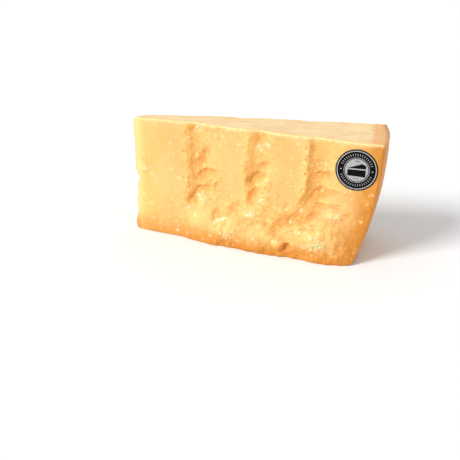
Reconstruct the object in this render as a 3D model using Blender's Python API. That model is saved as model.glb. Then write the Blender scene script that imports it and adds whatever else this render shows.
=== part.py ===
"""A wedge of aged hard cheese with its round label, in metres, +Z up.

The wedge is a thin sector of half a wheel: its top is the level cut through the wheel's widest part, its
base is the wheel's flat rind, and its far end is the barrel-shaped rind. It was split off in short steps from
the top, which left smooth upright panels on both sides, each ending in a crumbling furrow.

+X runs from the tip to the rind, the label is on the -Y side, and the origin is on the base, midway along.
"""

import math

import bmesh
import bpy
from mathutils import Vector, noise

# The sector
RADIUS = 0.217  # from tip to rind at the level cut, where the wheel is widest
HEIGHT = 0.106  # half of the wheel's height
BARREL_INSET, BARREL_POWER = 0.0178, 2.2  # how far the rind draws in down to the base, and how late
RIND_BOW = 0.0022  # how far the middle of the rind stands out past its two upright corners
RIND_FILLET = 0.003  # rounding where the barrel meets the flat base
EDGE = 0.0014  # rounding of the cut edges
EDGE_CALM = 0.0056  # from the edges to where the waves reach their full height
MIDDLE = 0.105  # from the tip to the part's origin

# The two lines along which it was split, at the top: (along, across)
FRONT_LINE = (
    (0.000, 0.0000), (0.020, -0.0004), (0.057, -0.0040), (0.104, -0.0118), (0.148, -0.0180),
    (0.189, -0.0234), (0.217, -0.0260),
)
BACK_LINE = (
    (0.000, 0.0080), (0.014, 0.0115), (0.050, 0.0170), (0.093, 0.0206), (0.136, 0.0226), (0.178, 0.0250),
    (0.217, 0.0268),
)

# Each side leans out towards its foot, and swells in its broken lower part: (along, how far out at the foot)
FRONT_LEAN = (
    (0.000, 0.0020), (0.028, 0.0070), (0.050, 0.0085), (0.100, 0.0090), (0.150, 0.0105), (0.200, 0.0105),
)
BACK_LEAN = ((0.000, 0.0010), (0.100, 0.0030), (0.200, 0.0040))
SWELL_TOP, SWELL_OVER = 0.056, 0.044  # the height where the swelling starts, and how far down it grows
FRONT_SWELL = (
    (0.040, 0.0), (0.056, 0.0040), (0.075, 0.0062), (0.123, 0.0068), (0.146, 0.0052), (0.170, 0.0074),
    (0.203, 0.0),
)
BACK_SWELL = ((0.030, 0.0), (0.060, 0.0045), (0.095, 0.0030), (0.130, 0.0060), (0.165, 0.0040), (0.205, 0.0))

# The smooth panels: from, to, lowest height. They have no crags
PANEL_FADE = 0.007
FRONT_PANELS = ((-0.020, 0.043, -0.020), (0.080, 0.098, 0.048), (0.131, 0.149, 0.050))
BACK_PANELS = ((-0.020, 0.026, -0.020), (0.062, 0.079, 0.040), (0.118, 0.137, 0.052), (0.172, 0.188, 0.058))

# Calmer spots between them: along, height, half length, half height, share of the crags taken away
FRONT_CALM = (
    (0.0600, 0.0160, 0.0240, 0.0300, 0.85), (0.0720, 0.0850, 0.0150, 0.0300, 0.60),
    (0.1250, 0.0780, 0.0150, 0.0380, 0.65), (0.1780, 0.0560, 0.0200, 0.0230, 0.60),
    (0.1950, 0.0400, 0.0180, 0.0500, 0.70), (0.1050, 0.0150, 0.0200, 0.0150, 0.60),
)
BACK_CALM = (
    (0.0440, 0.0150, 0.0240, 0.0250, 0.80), (0.1100, 0.0700, 0.0180, 0.0380, 0.60),
    (0.1950, 0.0500, 0.0200, 0.0600, 0.60),
)

# Furrows: the width of the wall beside the panel, the reach of the slope that climbs out, then the furrow's
# course as (height, place along the wedge, depth) from the foot up
FRONT_FURROWS = (
    (0.010, 0.028, (
        (0.024, 0.0430, 0.0), (0.036, 0.0430, 0.0020), (0.052, 0.0445, 0.0028), (0.070, 0.0445, 0.0032),
        (0.086, 0.0450, 0.0024), (0.096, 0.0430, 0.0018), (0.106, 0.0430, 0.0016),
    )),
    (0.009, 0.024, (
        (0.034, 0.0970, 0.0), (0.046, 0.0975, 0.0018), (0.056, 0.0975, 0.0026), (0.067, 0.0975, 0.0034),
        (0.082, 0.0975, 0.0024), (0.106, 0.1000, 0.0018),
    )),
    (0.0056, 0.031, (
        (0.030, 0.1370, 0.0), (0.040, 0.1410, 0.0012), (0.049, 0.1450, 0.0024), (0.058, 0.1495, 0.0038),
        (0.074, 0.1515, 0.0042), (0.090, 0.1512, 0.0030), (0.106, 0.1510, 0.0018),
    )),
)
BACK_FURROWS = (
    (0.007, 0.030, (
        (0.022, 0.0300, 0.0), (0.040, 0.0310, 0.0024), (0.062, 0.0320, 0.0034), (0.088, 0.0310, 0.0020),
        (0.106, 0.0310, 0.0010),
    )),
    (0.006, 0.032, (
        (0.026, 0.0780, 0.0), (0.040, 0.0800, 0.0040), (0.060, 0.0830, 0.0052), (0.080, 0.0820, 0.0034),
        (0.106, 0.0820, 0.0014),
    )),
    (0.005, 0.030, (
        (0.030, 0.1300, 0.0), (0.044, 0.1360, 0.0046), (0.060, 0.1400, 0.0060), (0.082, 0.1400, 0.0036),
        (0.106, 0.1400, 0.0016),
    )),
)

# Strokes where a flake broke away: depth, width of the wall, reach of the climb, and the wall's course as
# (along, height). The hollow lies on the left of the course, and the stroke fades towards both ends
FRONT_STROKES = (
    (0.0020, 0.0048, 0.012, ((0.0650, 0.0920), (0.0570, 0.0800), (0.0490, 0.0660))),
    (0.0022, 0.0038, 0.012, ((0.0800, 0.0680), (0.0700, 0.0690), (0.0620, 0.0680), (0.0550, 0.0610),
        (0.0500, 0.0540))),
    (0.0024, 0.0044, 0.013, ((0.0690, 0.0610), (0.0620, 0.0540), (0.0530, 0.0490), (0.0460, 0.0370),
        (0.0430, 0.0310))),
    (0.0020, 0.0040, 0.009, ((0.0510, 0.1100), (0.0480, 0.1020), (0.0470, 0.0930))),
    (0.0016, 0.0036, 0.010, ((0.0780, 0.0620), (0.0710, 0.0560), (0.0660, 0.0460))),
    (0.0020, 0.0040, 0.011, ((0.0745, 0.0390), (0.0700, 0.0310), (0.0690, 0.0180))),
    (0.0014, 0.0040, 0.011, ((0.0960, 0.0470), (0.0880, 0.0400), (0.0800, 0.0370))),
    (0.0016, 0.0040, 0.010, ((0.1090, 0.1080), (0.1060, 0.1000), (0.1030, 0.0900))),
    (0.0020, 0.0036, 0.011, ((0.1230, 0.0850), (0.1130, 0.0800), (0.1050, 0.0730))),
    (0.0030, 0.0042, 0.012, ((0.1210, 0.0725), (0.1120, 0.0725), (0.1040, 0.0700), (0.0980, 0.0620),
        (0.0960, 0.0540))),
    (0.0022, 0.0040, 0.011, ((0.1090, 0.0610), (0.1020, 0.0530), (0.0990, 0.0390))),
    (0.0018, 0.0044, 0.012, ((0.1720, 0.0700), (0.1630, 0.0670), (0.1560, 0.0600), (0.1500, 0.0500),
        (0.1450, 0.0430))),
    (0.0013, 0.0026, 0.008, ((0.1740, 0.0625), (0.1650, 0.0590), (0.1580, 0.0540), (0.1530, 0.0450))),
    (0.0012, 0.0026, 0.008, ((0.1690, 0.0480), (0.1600, 0.0450), (0.1540, 0.0400), (0.1500, 0.0330))),
    (0.0020, 0.0036, 0.010, ((0.1800, 0.0810), (0.1700, 0.0810), (0.1610, 0.0780), (0.1550, 0.0700))),
    (0.0018, 0.0042, 0.012, ((0.1880, 0.0540), (0.1740, 0.0525), (0.1620, 0.0530), (0.1510, 0.0490))),
    (0.0018, 0.0052, 0.014, ((0.1480, 0.0400), (0.1380, 0.0380), (0.1280, 0.0340), (0.1220, 0.0260),
        (0.1200, 0.0140))),
    (0.0014, 0.0032, 0.010, ((0.1900, 0.0440), (0.1800, 0.0410), (0.1700, 0.0430))),
    (0.0014, 0.0040, 0.010, ((0.1840, 0.0240), (0.1780, 0.0160), (0.1770, 0.0040))),
    (0.0016, 0.0030, 0.008, ((0.0800, 0.0110), (0.0760, 0.0060), (0.0750, -0.0040))),
    (0.0012, 0.0030, 0.009, ((0.1050, 0.0150), (0.0980, 0.0100), (0.0930, 0.0090))),
)
BACK_STROKES = (
    (0.0026, 0.0030, 0.012, ((0.0480, 0.0900), (0.0390, 0.0820), (0.0320, 0.0700))),
    (0.0028, 0.0022, 0.011, ((0.0540, 0.0600), (0.0440, 0.0580), (0.0360, 0.0500))),
    (0.0020, 0.0030, 0.010, ((0.0420, 0.0420), (0.0360, 0.0340), (0.0330, 0.0240))),
    (0.0030, 0.0026, 0.012, ((0.1020, 0.0880), (0.0930, 0.0800), (0.0850, 0.0760))),
    (0.0032, 0.0022, 0.011, ((0.1060, 0.0640), (0.0960, 0.0620), (0.0860, 0.0540), (0.0820, 0.0460))),
    (0.0024, 0.0030, 0.012, ((0.1000, 0.0400), (0.0900, 0.0360), (0.0840, 0.0260))),
    (0.0020, 0.0030, 0.010, ((0.0780, 0.0260), (0.0700, 0.0200), (0.0660, 0.0100))),
    (0.0030, 0.0026, 0.012, ((0.1600, 0.0900), (0.1510, 0.0840), (0.1430, 0.0760))),
    (0.0034, 0.0024, 0.011, ((0.1620, 0.0660), (0.1530, 0.0640), (0.1440, 0.0560), (0.1390, 0.0440))),
    (0.0024, 0.0034, 0.012, ((0.1430, 0.0360), (0.1320, 0.0290), (0.1240, 0.0180))),
    (0.0020, 0.0030, 0.010, ((0.1800, 0.0400), (0.1710, 0.0330), (0.1660, 0.0220))),
)
STROKE_TAPER = 0.011
STROKE_WANDER_SIZE, STROKE_WANDER, FURROW_WANDER = 0.006, 0.0012, 0.0006

# Soft hollows, and mounds between the strokes: along, height, half length, half height, depth, tilt
FRONT_HOLLOWS = (
    (0.1375, 0.0100, 0.0060, 0.0044, 0.0034, 16),
    (0.1560, 0.0960, 0.0050, 0.0100, 0.0010, 0),
    (0.0860, 0.0300, 0.0120, 0.0060, 0.0010, 30),
    (0.1180, 0.0270, 0.0070, 0.0050, 0.0010, -20),
)
FRONT_MOUNDS = (
    (0.0600, 0.0400, 0.0090, 0.0120, 0.0026, -30),
    (0.0600, 0.0240, 0.0150, 0.0200, 0.0022, -14),
    (0.0850, 0.0200, 0.0200, 0.0150, 0.0028, 20),
    (0.0580, 0.0750, 0.0060, 0.0060, 0.0018, 30),
    (0.0660, 0.0610, 0.0070, 0.0050, 0.0018, 20),
    (0.1060, 0.0360, 0.0150, 0.0110, 0.0028, 30),
    (0.1150, 0.0480, 0.0110, 0.0110, 0.0024, 40),
    (0.1150, 0.0600, 0.0090, 0.0080, 0.0020, 20),
    (0.1600, 0.0240, 0.0260, 0.0180, 0.0038, 10),
    (0.1310, 0.0110, 0.0080, 0.0064, 0.0040, 10),
    (0.1720, 0.0660, 0.0150, 0.0090, 0.0024, 10),
    (0.1760, 0.0450, 0.0130, 0.0070, 0.0016, -10),
    (0.0050, 0.0610, 0.0090, 0.0070, 0.0011, 0),
)
BACK_HOLLOWS = (
    (0.0880, 0.0580, 0.0070, 0.0060, 0.0016, 15),
    (0.1420, 0.0420, 0.0060, 0.0080, 0.0016, 10),
    (0.1250, 0.0220, 0.0110, 0.0060, 0.0016, -15),
)
BACK_MOUNDS = (
    (0.0500, 0.0250, 0.0160, 0.0180, 0.0030, 10),
    (0.0800, 0.0300, 0.0120, 0.0200, 0.0026, -20),
    (0.1060, 0.0450, 0.0160, 0.0130, 0.0028, 25),
    (0.1080, 0.0160, 0.0180, 0.0120, 0.0026, 0),
    (0.1450, 0.0200, 0.0170, 0.0150, 0.0034, 15),
    (0.1640, 0.0560, 0.0120, 0.0160, 0.0024, -10),
    (0.1800, 0.0250, 0.0160, 0.0180, 0.0022, 0),
)

# Crags of the broken paste: size, then height. They are lower on the wedge's upper half
LUMP_SIZE, LUMP_RISE = 0.021, 0.0016
CRAG_SIZE, CRAG_RISE = 0.0085, 0.0013
GRAIN_SIZE, GRAIN_RISE = 0.0042, 0.0006
CRAG_UPPER_SHARE, CRAG_UPPER_FROM, CRAG_LOWER_TO = 0.55, 0.060, 0.030
CELL_MEAN = 0.45  # the usual distance from a place to the middle of its cell, in cells

# Rings of broken flakes round each furrow's heart
RIPPLE_STEP, RIPPLE_RISE, RIPPLE_REACH = 0.0062, 0.0008, 0.026
RIPPLE_SQUASH = 0.8  # the rings' width as a share of their height
RIPPLE_WANDER, RIPPLE_WANDER_SIZE = 0.5, 0.0105  # in steps, and the size of the wandering

PANEL_WAVE_SIZE, PANEL_WAVE_RISE = 0.030, 0.0004
RIND_WAVE_SIZE, RIND_WAVE_RISE = 0.024, 0.0004
TOP_WAVE_RISE = 0.00015
NO_SHIFT = Vector((0.0, 0.0, 0.0))
BACK_SHIFT = Vector((3.7, 1.3, 5.1))  # moves the back's crags to another part of the same noise

# The tip, seen from the side: chips out of its edge (height, half height, depth) and rounded corners
TIP_START = -0.0018
TIP_SLANT = 0.0080  # how much further along the back starts
TIP_CHIPS = (
    (0.0500, 0.0080, 0.0034), (0.0380, 0.0120, 0.0014), (0.1000, 0.0130, -0.0008), (0.0190, 0.0070, 0.0012),
    (0.0060, 0.0100, -0.0014),
)
TIP_CORNER = 0.0035
TIP_TURN, TIP_TURN_REACH = 0.0014, 0.0085  # how far the sides turn in at the tip, and from where

# The label, a disc on a flat spot of the front that is turned with the side and leans as it does
LABEL_ALONG, LABEL_UP = 0.1925, 0.0835
LABEL_RADIUS, LABEL_THICKNESS, LABEL_GAP = 0.0173, 0.0004, 0.0003
LABEL_SIDES = 64
SEAT_ACROSS = -0.0262  # where the flat spot's middle lies
SEAT_TURN, SEAT_LEAN = 6.8, 5.6  # degrees
SEAT_MARGIN, SEAT_FADE = 0.0009, 0.009  # flat round the label's edge, then fading into the untouched paste

# Fineness
ALONG_CELLS, UP_CELLS, ACROSS_CELLS = 168, 82, 18
CHEESE_TRIANGLES = 9600
SHARP_DEGREES = 35

CHEESE_COLOUR, CHEESE_ROUGHNESS = (0.95, 0.66, 0.25, 1.0), 0.55
LABEL_COLOUR, LABEL_ROUGHNESS, LABEL_METALLIC = (0.03, 0.03, 0.032, 1.0), 0.35, 0.2


def ease(t):
    """0 before 0, 1 after 1, with a smooth climb between."""
    t = min(1.0, max(0.0, t))
    return t * t * (3.0 - 2.0 * t)


def knot_slope(knots, k, column):
    """Slope of a curve at one of its knots."""
    low, high = knots[max(0, k - 1)], knots[min(len(knots) - 1, k + 1)]
    return (high[column] - low[column]) / (high[0] - low[0])


def curve(value, knots, column=1):
    """Height of a smooth curve through knots, read from one of their columns, level past its ends."""
    value = min(knots[-1][0], max(knots[0][0], value))
    k = 0
    while k < len(knots) - 2 and value > knots[k + 1][0]:
        k += 1
    span = knots[k + 1][0] - knots[k][0]
    t = (value - knots[k][0]) / span
    rise = knots[k + 1][column] - knots[k][column]
    start, end = knot_slope(knots, k, column) * span, knot_slope(knots, k + 1, column) * span
    bend = start * t * (1.0 - t) ** 2 - end * t * t * (1.0 - t)
    return knots[k][column] + rise * ease(t) + bend


def fillet_inset(distance, radius):
    """How far a rounded corner draws in, at a distance from the edge."""
    if distance >= radius:
        return 0.0
    left = 1.0 - max(0.0, distance) / radius
    return radius * (1.0 - math.sqrt(1.0 - left * left))


def rind_radius(z):
    """Distance of the rind from the wheel's axis at a height."""
    below = min(1.0, max(0.0, 1.0 - z / HEIGHT))
    return RADIUS - BARREL_INSET * below**BARREL_POWER - fillet_inset(z, RIND_FILLET)


def tip_start(z):
    """Where the tip begins at a height, with its chips."""
    chips = sum(depth * ease(1.0 - abs(z - height) / half) for height, half, depth in TIP_CHIPS)
    corners = fillet_inset(HEIGHT - z, TIP_CORNER) + fillet_inset(z, TIP_CORNER)
    return TIP_START + chips + corners


def furrows(x, z, table):
    """Depth of the furrows at a place: a wall beside each smooth panel, then a long climb."""
    deepest = 0.0
    for wall, reach, course in table:
        past = x - curve(z, course, 1)
        shape = ease(past / wall) * (1.0 - ease((past - wall) / (reach - wall)))
        deepest = max(deepest, curve(z, course, 2) * shape)
    return deepest


def oval(x, z, along, up, half_x, half_z, tilt):
    """1 in the middle of a tilted oval, fading smoothly to 0 at its rim."""
    turn = math.radians(tilt)
    dx, dz = x - along, z - up
    across = (dx * math.cos(turn) + dz * math.sin(turn)) / half_x
    upward = (dz * math.cos(turn) - dx * math.sin(turn)) / half_z
    return ease(1.0 - math.hypot(across, upward))


def ovals(x, z, table):
    """Sum of the heights, or the depths, of soft ovals at a place."""
    height = 0.0
    for along, up, half_x, half_z, rise, tilt in table:
        height += rise * oval(x, z, along, up, half_x, half_z, tilt)
    return height


def nearest_on(x, z, course):
    """How far a place lies to the left of a course, how far along it, and the course's length."""
    nearest, side, run, length = 1.0, 0.0, 0.0, 0.0
    for (start_x, start_z), (end_x, end_z) in zip(course, course[1:]):
        span = math.hypot(end_x - start_x, end_z - start_z)
        step_x, step_z = (end_x - start_x) / span, (end_z - start_z) / span
        dx, dz = x - start_x, z - start_z
        along = min(span, max(0.0, dx * step_x + dz * step_z))
        away = math.hypot(dx - along * step_x, dz - along * step_z)
        if away < nearest:
            nearest, run = away, length + along
            side = away if step_x * dz > step_z * dx else -away
        length += span
    return side, run, length


def strokes(x, z, table, wander):
    """Depth of the strokes at a place: a wall on the course, then a climb on its left, faded at both ends."""
    deepest = 0.0
    for depth, wall, reach, course in table:
        side, run, length = nearest_on(x, z, course)
        side += wander
        ends = ease(run / STROKE_TAPER) * ease((length - run) / STROKE_TAPER)
        shape = ease(side / wall) * (1.0 - ease((side - wall) / (reach - wall)))
        deepest = max(deepest, depth * shape * ends)
    return deepest


def ripples(x, z, table):
    """Rings of broken flakes that spread from each furrow towards the rind."""
    rise = 0.0
    for _, _, course in table:
        heart_z = course[len(course) // 2][0]
        dx, dz = x - curve(heart_z, course, 1), z - heart_z
        away = math.hypot(dx, dz * RIPPLE_SQUASH)
        if dx <= 0.0 or away >= RIPPLE_REACH:
            continue
        wander = RIPPLE_WANDER * noise.noise(Vector((x, 0.0, z)) / RIPPLE_WANDER_SIZE)
        phase = (away / RIPPLE_STEP + wander) % 1.0
        rise += RIPPLE_RISE * ease(dx / RIPPLE_STEP) * (1.0 - away / RIPPLE_REACH) * (phase - 0.5)
    return rise


def craggy(x, z, panels, calm):
    """How rough the paste is at a place, from 0 on the smooth panels to 1 on a clean break."""
    rough = 1.0
    for start, end, low in panels:
        inside = ease((x - start) / PANEL_FADE + 0.5) * ease((end - x) / PANEL_FADE + 0.5)
        inside *= ease((z - low) / (2.0 * PANEL_FADE) + 0.5)
        rough = min(rough, 1.0 - inside)
    for along, up, half_x, half_z, share in calm:
        rough *= 1.0 - share * oval(x, z, along, up, half_x, half_z, 0.0)
    return rough


def crags(x, z, rough, shift):
    """Height of the paste's grain: broad lumps, faceted crags and small grains, all on broken paste only."""
    place = Vector((x, 0.0, z))
    lower = ease((CRAG_UPPER_FROM - z) / (CRAG_UPPER_FROM - CRAG_LOWER_TO))
    share = CRAG_UPPER_SHARE + (1.0 - CRAG_UPPER_SHARE) * lower
    lumps = noise.noise(place / LUMP_SIZE + shift)
    cells = noise.voronoi(place / CRAG_SIZE + shift)[0]
    grains = noise.noise(place / GRAIN_SIZE + shift)
    broken = LUMP_RISE * lumps + CRAG_RISE * (CELL_MEAN - cells[0]) + GRAIN_RISE * grains
    wave = PANEL_WAVE_RISE * noise.noise(place / PANEL_WAVE_SIZE + shift)
    return rough * share * broken + wave


def stand_out(x, z, lean, swell, rough, furrow_table, stroke_table, hollow_table, mound_table, shift):
    """How far a broken side stands out of the upright through its line at the top."""
    wander = noise.noise(Vector((x, 0.0, z)) / STROKE_WANDER_SIZE + shift)
    form = curve(x, lean) * (1.0 - z / HEIGHT) + curve(x, swell) * ease((SWELL_TOP - z) / SWELL_OVER)
    form += ovals(x, z, mound_table) - ovals(x, z, hollow_table)
    form -= furrows(x + FURROW_WANDER * wander, z, furrow_table)
    form -= strokes(x, z, stroke_table, STROKE_WANDER * wander)
    form -= TIP_TURN * (1.0 - ease((x - TIP_START) / TIP_TURN_REACH))
    return form + ripples(x, z, furrow_table) + crags(x, z, rough, shift)


def seat_y(x, z):
    """The plane of the flat spot under the label."""
    turn, lean = math.tan(math.radians(SEAT_TURN)), math.tan(math.radians(SEAT_LEAN))
    return SEAT_ACROSS - (x - LABEL_ALONG) * turn + (z - LABEL_UP) * lean


def front_y(x, z):
    """The side with the label, flat under it."""
    rough = craggy(x, z, FRONT_PANELS, FRONT_CALM)
    tables = FRONT_FURROWS, FRONT_STROKES, FRONT_HOLLOWS, FRONT_MOUNDS
    out = stand_out(x, z, FRONT_LEAN, FRONT_SWELL, rough, *tables, NO_SHIFT)
    away = math.hypot(x - LABEL_ALONG, z - LABEL_UP) - LABEL_RADIUS
    flat = 1.0 - ease((away - SEAT_MARGIN) / SEAT_FADE)
    return (curve(x, FRONT_LINE) - out) * (1.0 - flat) + seat_y(x, z) * flat


def back_y(x, z):
    """The other broken side."""
    rough = craggy(x, z, BACK_PANELS, BACK_CALM)
    tables = BACK_FURROWS, BACK_STROKES, BACK_HOLLOWS, BACK_MOUNDS
    return curve(x, BACK_LINE) + stand_out(x, z, BACK_LEAN, BACK_SWELL, rough, *tables, BACK_SHIFT)


def corner_x(z, y):
    """Where the rind begins at one of its upright corners."""
    radius = rind_radius(z)
    return math.sqrt(radius * radius - y * y) - RIND_BOW


def side_grid(side_y, slant):
    """Columns of points of one broken side, from tip to rind and from foot to top, within the edges."""
    columns = [[] for _ in range(ALONG_CELLS + 1)]
    for j in range(UP_CELLS + 1):
        z = EDGE + (HEIGHT - 2.0 * EDGE) * j / UP_CELLS
        start = tip_start(z) + slant + EDGE
        end = corner_x(z, side_y(rind_radius(z), z)) - EDGE
        for i in range(ALONG_CELLS + 1):
            x = start + (end - start) * i / ALONG_CELLS
            columns[i].append(Vector((x, side_y(x, z), z)))
    return columns


def rim_places():
    """Grid places round the sides' edge in order, each with its outward direction along the side."""
    last_i, last_j = ALONG_CELLS, UP_CELLS
    foot = [(i, 0) for i in range(last_i)]
    rind = [(last_i, j) for j in range(last_j)]
    top = [(i, last_j) for i in range(last_i, 0, -1)]
    tip = [(0, j) for j in range(last_j, 0, -1)]
    for i, j in foot + rind + top + tip:
        yield i, j, (i == last_i) - (i == 0), (j == last_j) - (j == 0)


def across_steps(thickness):
    """Distances across the wedge where the rim has points: close together in the rounded edges."""
    rounded = [EDGE * (1.0 - math.cos(math.radians(angle))) for angle in (30.0, 60.0, 90.0)]
    inner = ACROSS_CELLS - 2 * len(rounded)
    middle = [EDGE + (thickness - 2.0 * EDGE) * k / inner for k in range(1, inner)]
    return rounded + middle + [thickness - step for step in reversed(rounded)]


def rim_point(front, back, out_x, out_z, distance, thickness):
    """A point of the cut top, the base, the tip or the rind, at a distance across the wedge."""
    share = distance / thickness
    point = front.lerp(back, share)
    near = min(distance, thickness - distance)
    rounded = EDGE - fillet_inset(near, EDGE)
    point.x += out_x * rounded
    point.z += out_z * rounded
    inner = ease(near / EDGE_CALM)
    if out_x > 0:
        flat = corner_x(front.z, front.y) * (1.0 - share) + corner_x(back.z, back.y) * share
        bow = RIND_BOW * (1.0 - (2.0 * share - 1.0) ** 2)
        point.x += corner_x(point.z, point.y) + bow - flat
        point.x += RIND_WAVE_RISE * noise.noise(point / RIND_WAVE_SIZE) * inner
    if out_x < 0:
        point.x -= CRAG_RISE * inner * noise.noise(point / CRAG_SIZE)
    if out_z > 0:
        point.z += TOP_WAVE_RISE * noise.noise(point / RIND_WAVE_SIZE) * inner
    return point


def build_wedge():
    """Both broken sides, joined all round by the rim."""
    mesh = bmesh.new()
    front, back = side_grid(front_y, 0.0), side_grid(back_y, TIP_SLANT)
    front_verts = [[mesh.verts.new(point) for point in column] for column in front]
    back_verts = [[mesh.verts.new(point) for point in column] for column in back]
    for i in range(ALONG_CELLS):
        for j in range(UP_CELLS):
            corners = ((i, j), (i + 1, j), (i + 1, j + 1), (i, j + 1))
            mesh.faces.new([front_verts[a][b] for a, b in corners])
            mesh.faces.new([back_verts[a][b] for a, b in reversed(corners)])
    rows = []
    for i, j, out_x, out_z in rim_places():
        thickness = (back[i][j] - front[i][j]).length
        points = [
            rim_point(front[i][j], back[i][j], out_x, out_z, distance, thickness)
            for distance in across_steps(thickness)
        ]
        rows.append([front_verts[i][j], *(mesh.verts.new(point) for point in points[:-1]), back_verts[i][j]])
    for row, following in zip(rows, rows[1:] + rows[:1]):
        for k in range(len(row) - 1):
            mesh.faces.new((following[k], row[k], row[k + 1], following[k + 1]))
    bmesh.ops.translate(mesh, vec=(-MIDDLE, 0.0, 0.0), verts=mesh.verts)
    bmesh.ops.recalc_face_normals(mesh, faces=mesh.faces)
    return mesh


def make_material(name, colour, roughness, metallic=0.0):
    material = bpy.data.materials.new(name)
    material.use_nodes = True
    shader = material.node_tree.nodes["Principled BSDF"]
    shader.inputs["Base Color"].default_value = colour
    shader.inputs["Roughness"].default_value = roughness
    shader.inputs["Metallic"].default_value = metallic
    return material


def make_object(name, mesh, material):
    data = bpy.data.meshes.new(name)
    mesh.to_mesh(data)
    mesh.free()
    data.materials.append(material)
    data.shade_smooth()
    data.set_sharp_from_angle(angle=math.radians(SHARP_DEGREES))
    made = bpy.data.objects.new(name, data)
    bpy.context.scene.collection.objects.link(made)
    return made


def make_cheese():
    """The wedge, with its flat and gently curved stretches in fewer and larger faces."""
    mesh = build_wedge()
    triangles = sum(len(face.verts) - 2 for face in mesh.faces)
    cheese = make_object("cheese", mesh, make_material("cheese", CHEESE_COLOUR, CHEESE_ROUGHNESS))
    fewer = cheese.modifiers.new("fewer faces", "DECIMATE")
    fewer.ratio = CHEESE_TRIANGLES / triangles
    fewer.use_collapse_triangulate = True
    return cheese


def make_label():
    """A thin disc that faces out of its flat spot."""
    mesh = bmesh.new()
    bmesh.ops.create_cone(
        mesh,
        cap_ends=True,
        segments=LABEL_SIDES,
        radius1=LABEL_RADIUS,
        radius2=LABEL_RADIUS,
        depth=LABEL_THICKNESS,
    )
    label = make_object("label", mesh, make_material("label", LABEL_COLOUR, LABEL_ROUGHNESS, LABEL_METALLIC))
    along = Vector((1.0, -math.tan(math.radians(SEAT_TURN)), 0.0))
    up = Vector((0.0, math.tan(math.radians(SEAT_LEAN)), 1.0))
    out = along.cross(up).normalized()
    seat = Vector((LABEL_ALONG - MIDDLE, SEAT_ACROSS, LABEL_UP))
    label.rotation_mode = "QUATERNION"
    label.rotation_quaternion = out.to_track_quat("Z", "Y")
    label.location = seat + out * (LABEL_GAP + LABEL_THICKNESS / 2.0)
    return label


def main():
    for old in list(bpy.data.objects):
        bpy.data.objects.remove(old)
    make_cheese()
    make_label()


main()
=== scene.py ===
"""The looks of a wedge of aged hard cheese and its round label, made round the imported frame, in metres.

The wedge is modelled again with the same form as its solid and much finer relief. +X runs from the tip to the
rind, the label is on the -Y side, and the origin is on the base.
"""

import math
import random

import bmesh
import bpy
import numpy as np
from mathutils import Matrix, Vector, noise


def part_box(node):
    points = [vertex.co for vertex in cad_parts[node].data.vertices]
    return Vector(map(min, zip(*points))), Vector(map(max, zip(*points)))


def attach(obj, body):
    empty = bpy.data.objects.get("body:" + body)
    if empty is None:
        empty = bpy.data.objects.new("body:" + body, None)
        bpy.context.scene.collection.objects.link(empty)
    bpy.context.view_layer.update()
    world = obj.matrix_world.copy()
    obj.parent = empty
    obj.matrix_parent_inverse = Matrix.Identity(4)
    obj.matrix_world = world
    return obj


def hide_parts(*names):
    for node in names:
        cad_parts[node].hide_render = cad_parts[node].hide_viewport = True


def colour(red, green, blue):
    """A colour as seen on a screen, 0 to 255, in the renderer's linear values."""
    def linear(value):
        value /= 255.0
        return value / 12.92 if value <= 0.04045 else ((value + 0.055) / 1.055) ** 2.4
    return linear(red), linear(green), linear(blue), 1.0


SEED = 7
MM = 0.001  # tables of places are in millimetres, and single values in metres

# The sector, as in the solid
RADIUS = 0.217
HEIGHT = 0.106
BARREL_INSET, BARREL_POWER = 0.0178, 2.2
RIND_BOW = 0.0022
RIND_FILLET = 0.003
EDGE = 0.0012  # rounding of the cut edges
EDGE_CALM = 0.0056  # from the edges to where the waves reach their full height
EDGE_STEPS = (22.5, 45.0, 67.5, 90.0)
MIDDLE = 0.105  # from the tip to the origin

# The two lines along which it was split, at the top: (along, across)
FRONT_LINE = ((0, 0), (20, -0.4), (57, -4), (104, -11.8), (148, -18), (189, -23.4), (217, -26))
BACK_LINE = ((0, 8), (14, 11.5), (50, 17), (93, 20.6), (136, 22.6), (178, 25), (217, 26.8))

# Each side leans out towards its foot, and swells in its broken lower part: (along, how far out at the foot)
FRONT_LEAN = ((0, 2), (28, 7), (50, 8.5), (100, 9), (150, 10.5), (200, 10.5))
BACK_LEAN = ((0, 1), (100, 3), (200, 4))
SWELL_TOP, SWELL_OVER = 0.056, 0.044
FRONT_SWELL = ((40, 0), (56, 4), (75, 6.2), (123, 6.8), (146, 5.2), (170, 7.4), (203, 0))
BACK_SWELL = ((30, 0), (60, 4.5), (95, 3), (130, 6), (165, 4), (205, 0))

# The smooth panels: from, to, lowest height
PANEL_FADE = 0.007
FRONT_PANELS = ((-20, 43, -20), (80, 98, 48), (131, 149, 50))
BACK_PANELS = ((-20, 26, -20), (62, 79, 40), (118, 137, 52), (172, 188, 58))

# Calmer spots between them: along, height, half length, half height, and the share of the crags taken away
FRONT_CALM = (
    (60, 16, 24, 30, 0.85), (72, 85, 15, 30, 0.6), (125, 78, 15, 38, 0.65), (178, 56, 20, 23, 0.6),
    (195, 40, 18, 50, 0.7), (105, 15, 20, 15, 0.6),
)
BACK_CALM = ((44, 15, 24, 25, 0.8), (110, 70, 18, 38, 0.6), (195, 50, 20, 60, 0.6))

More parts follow.
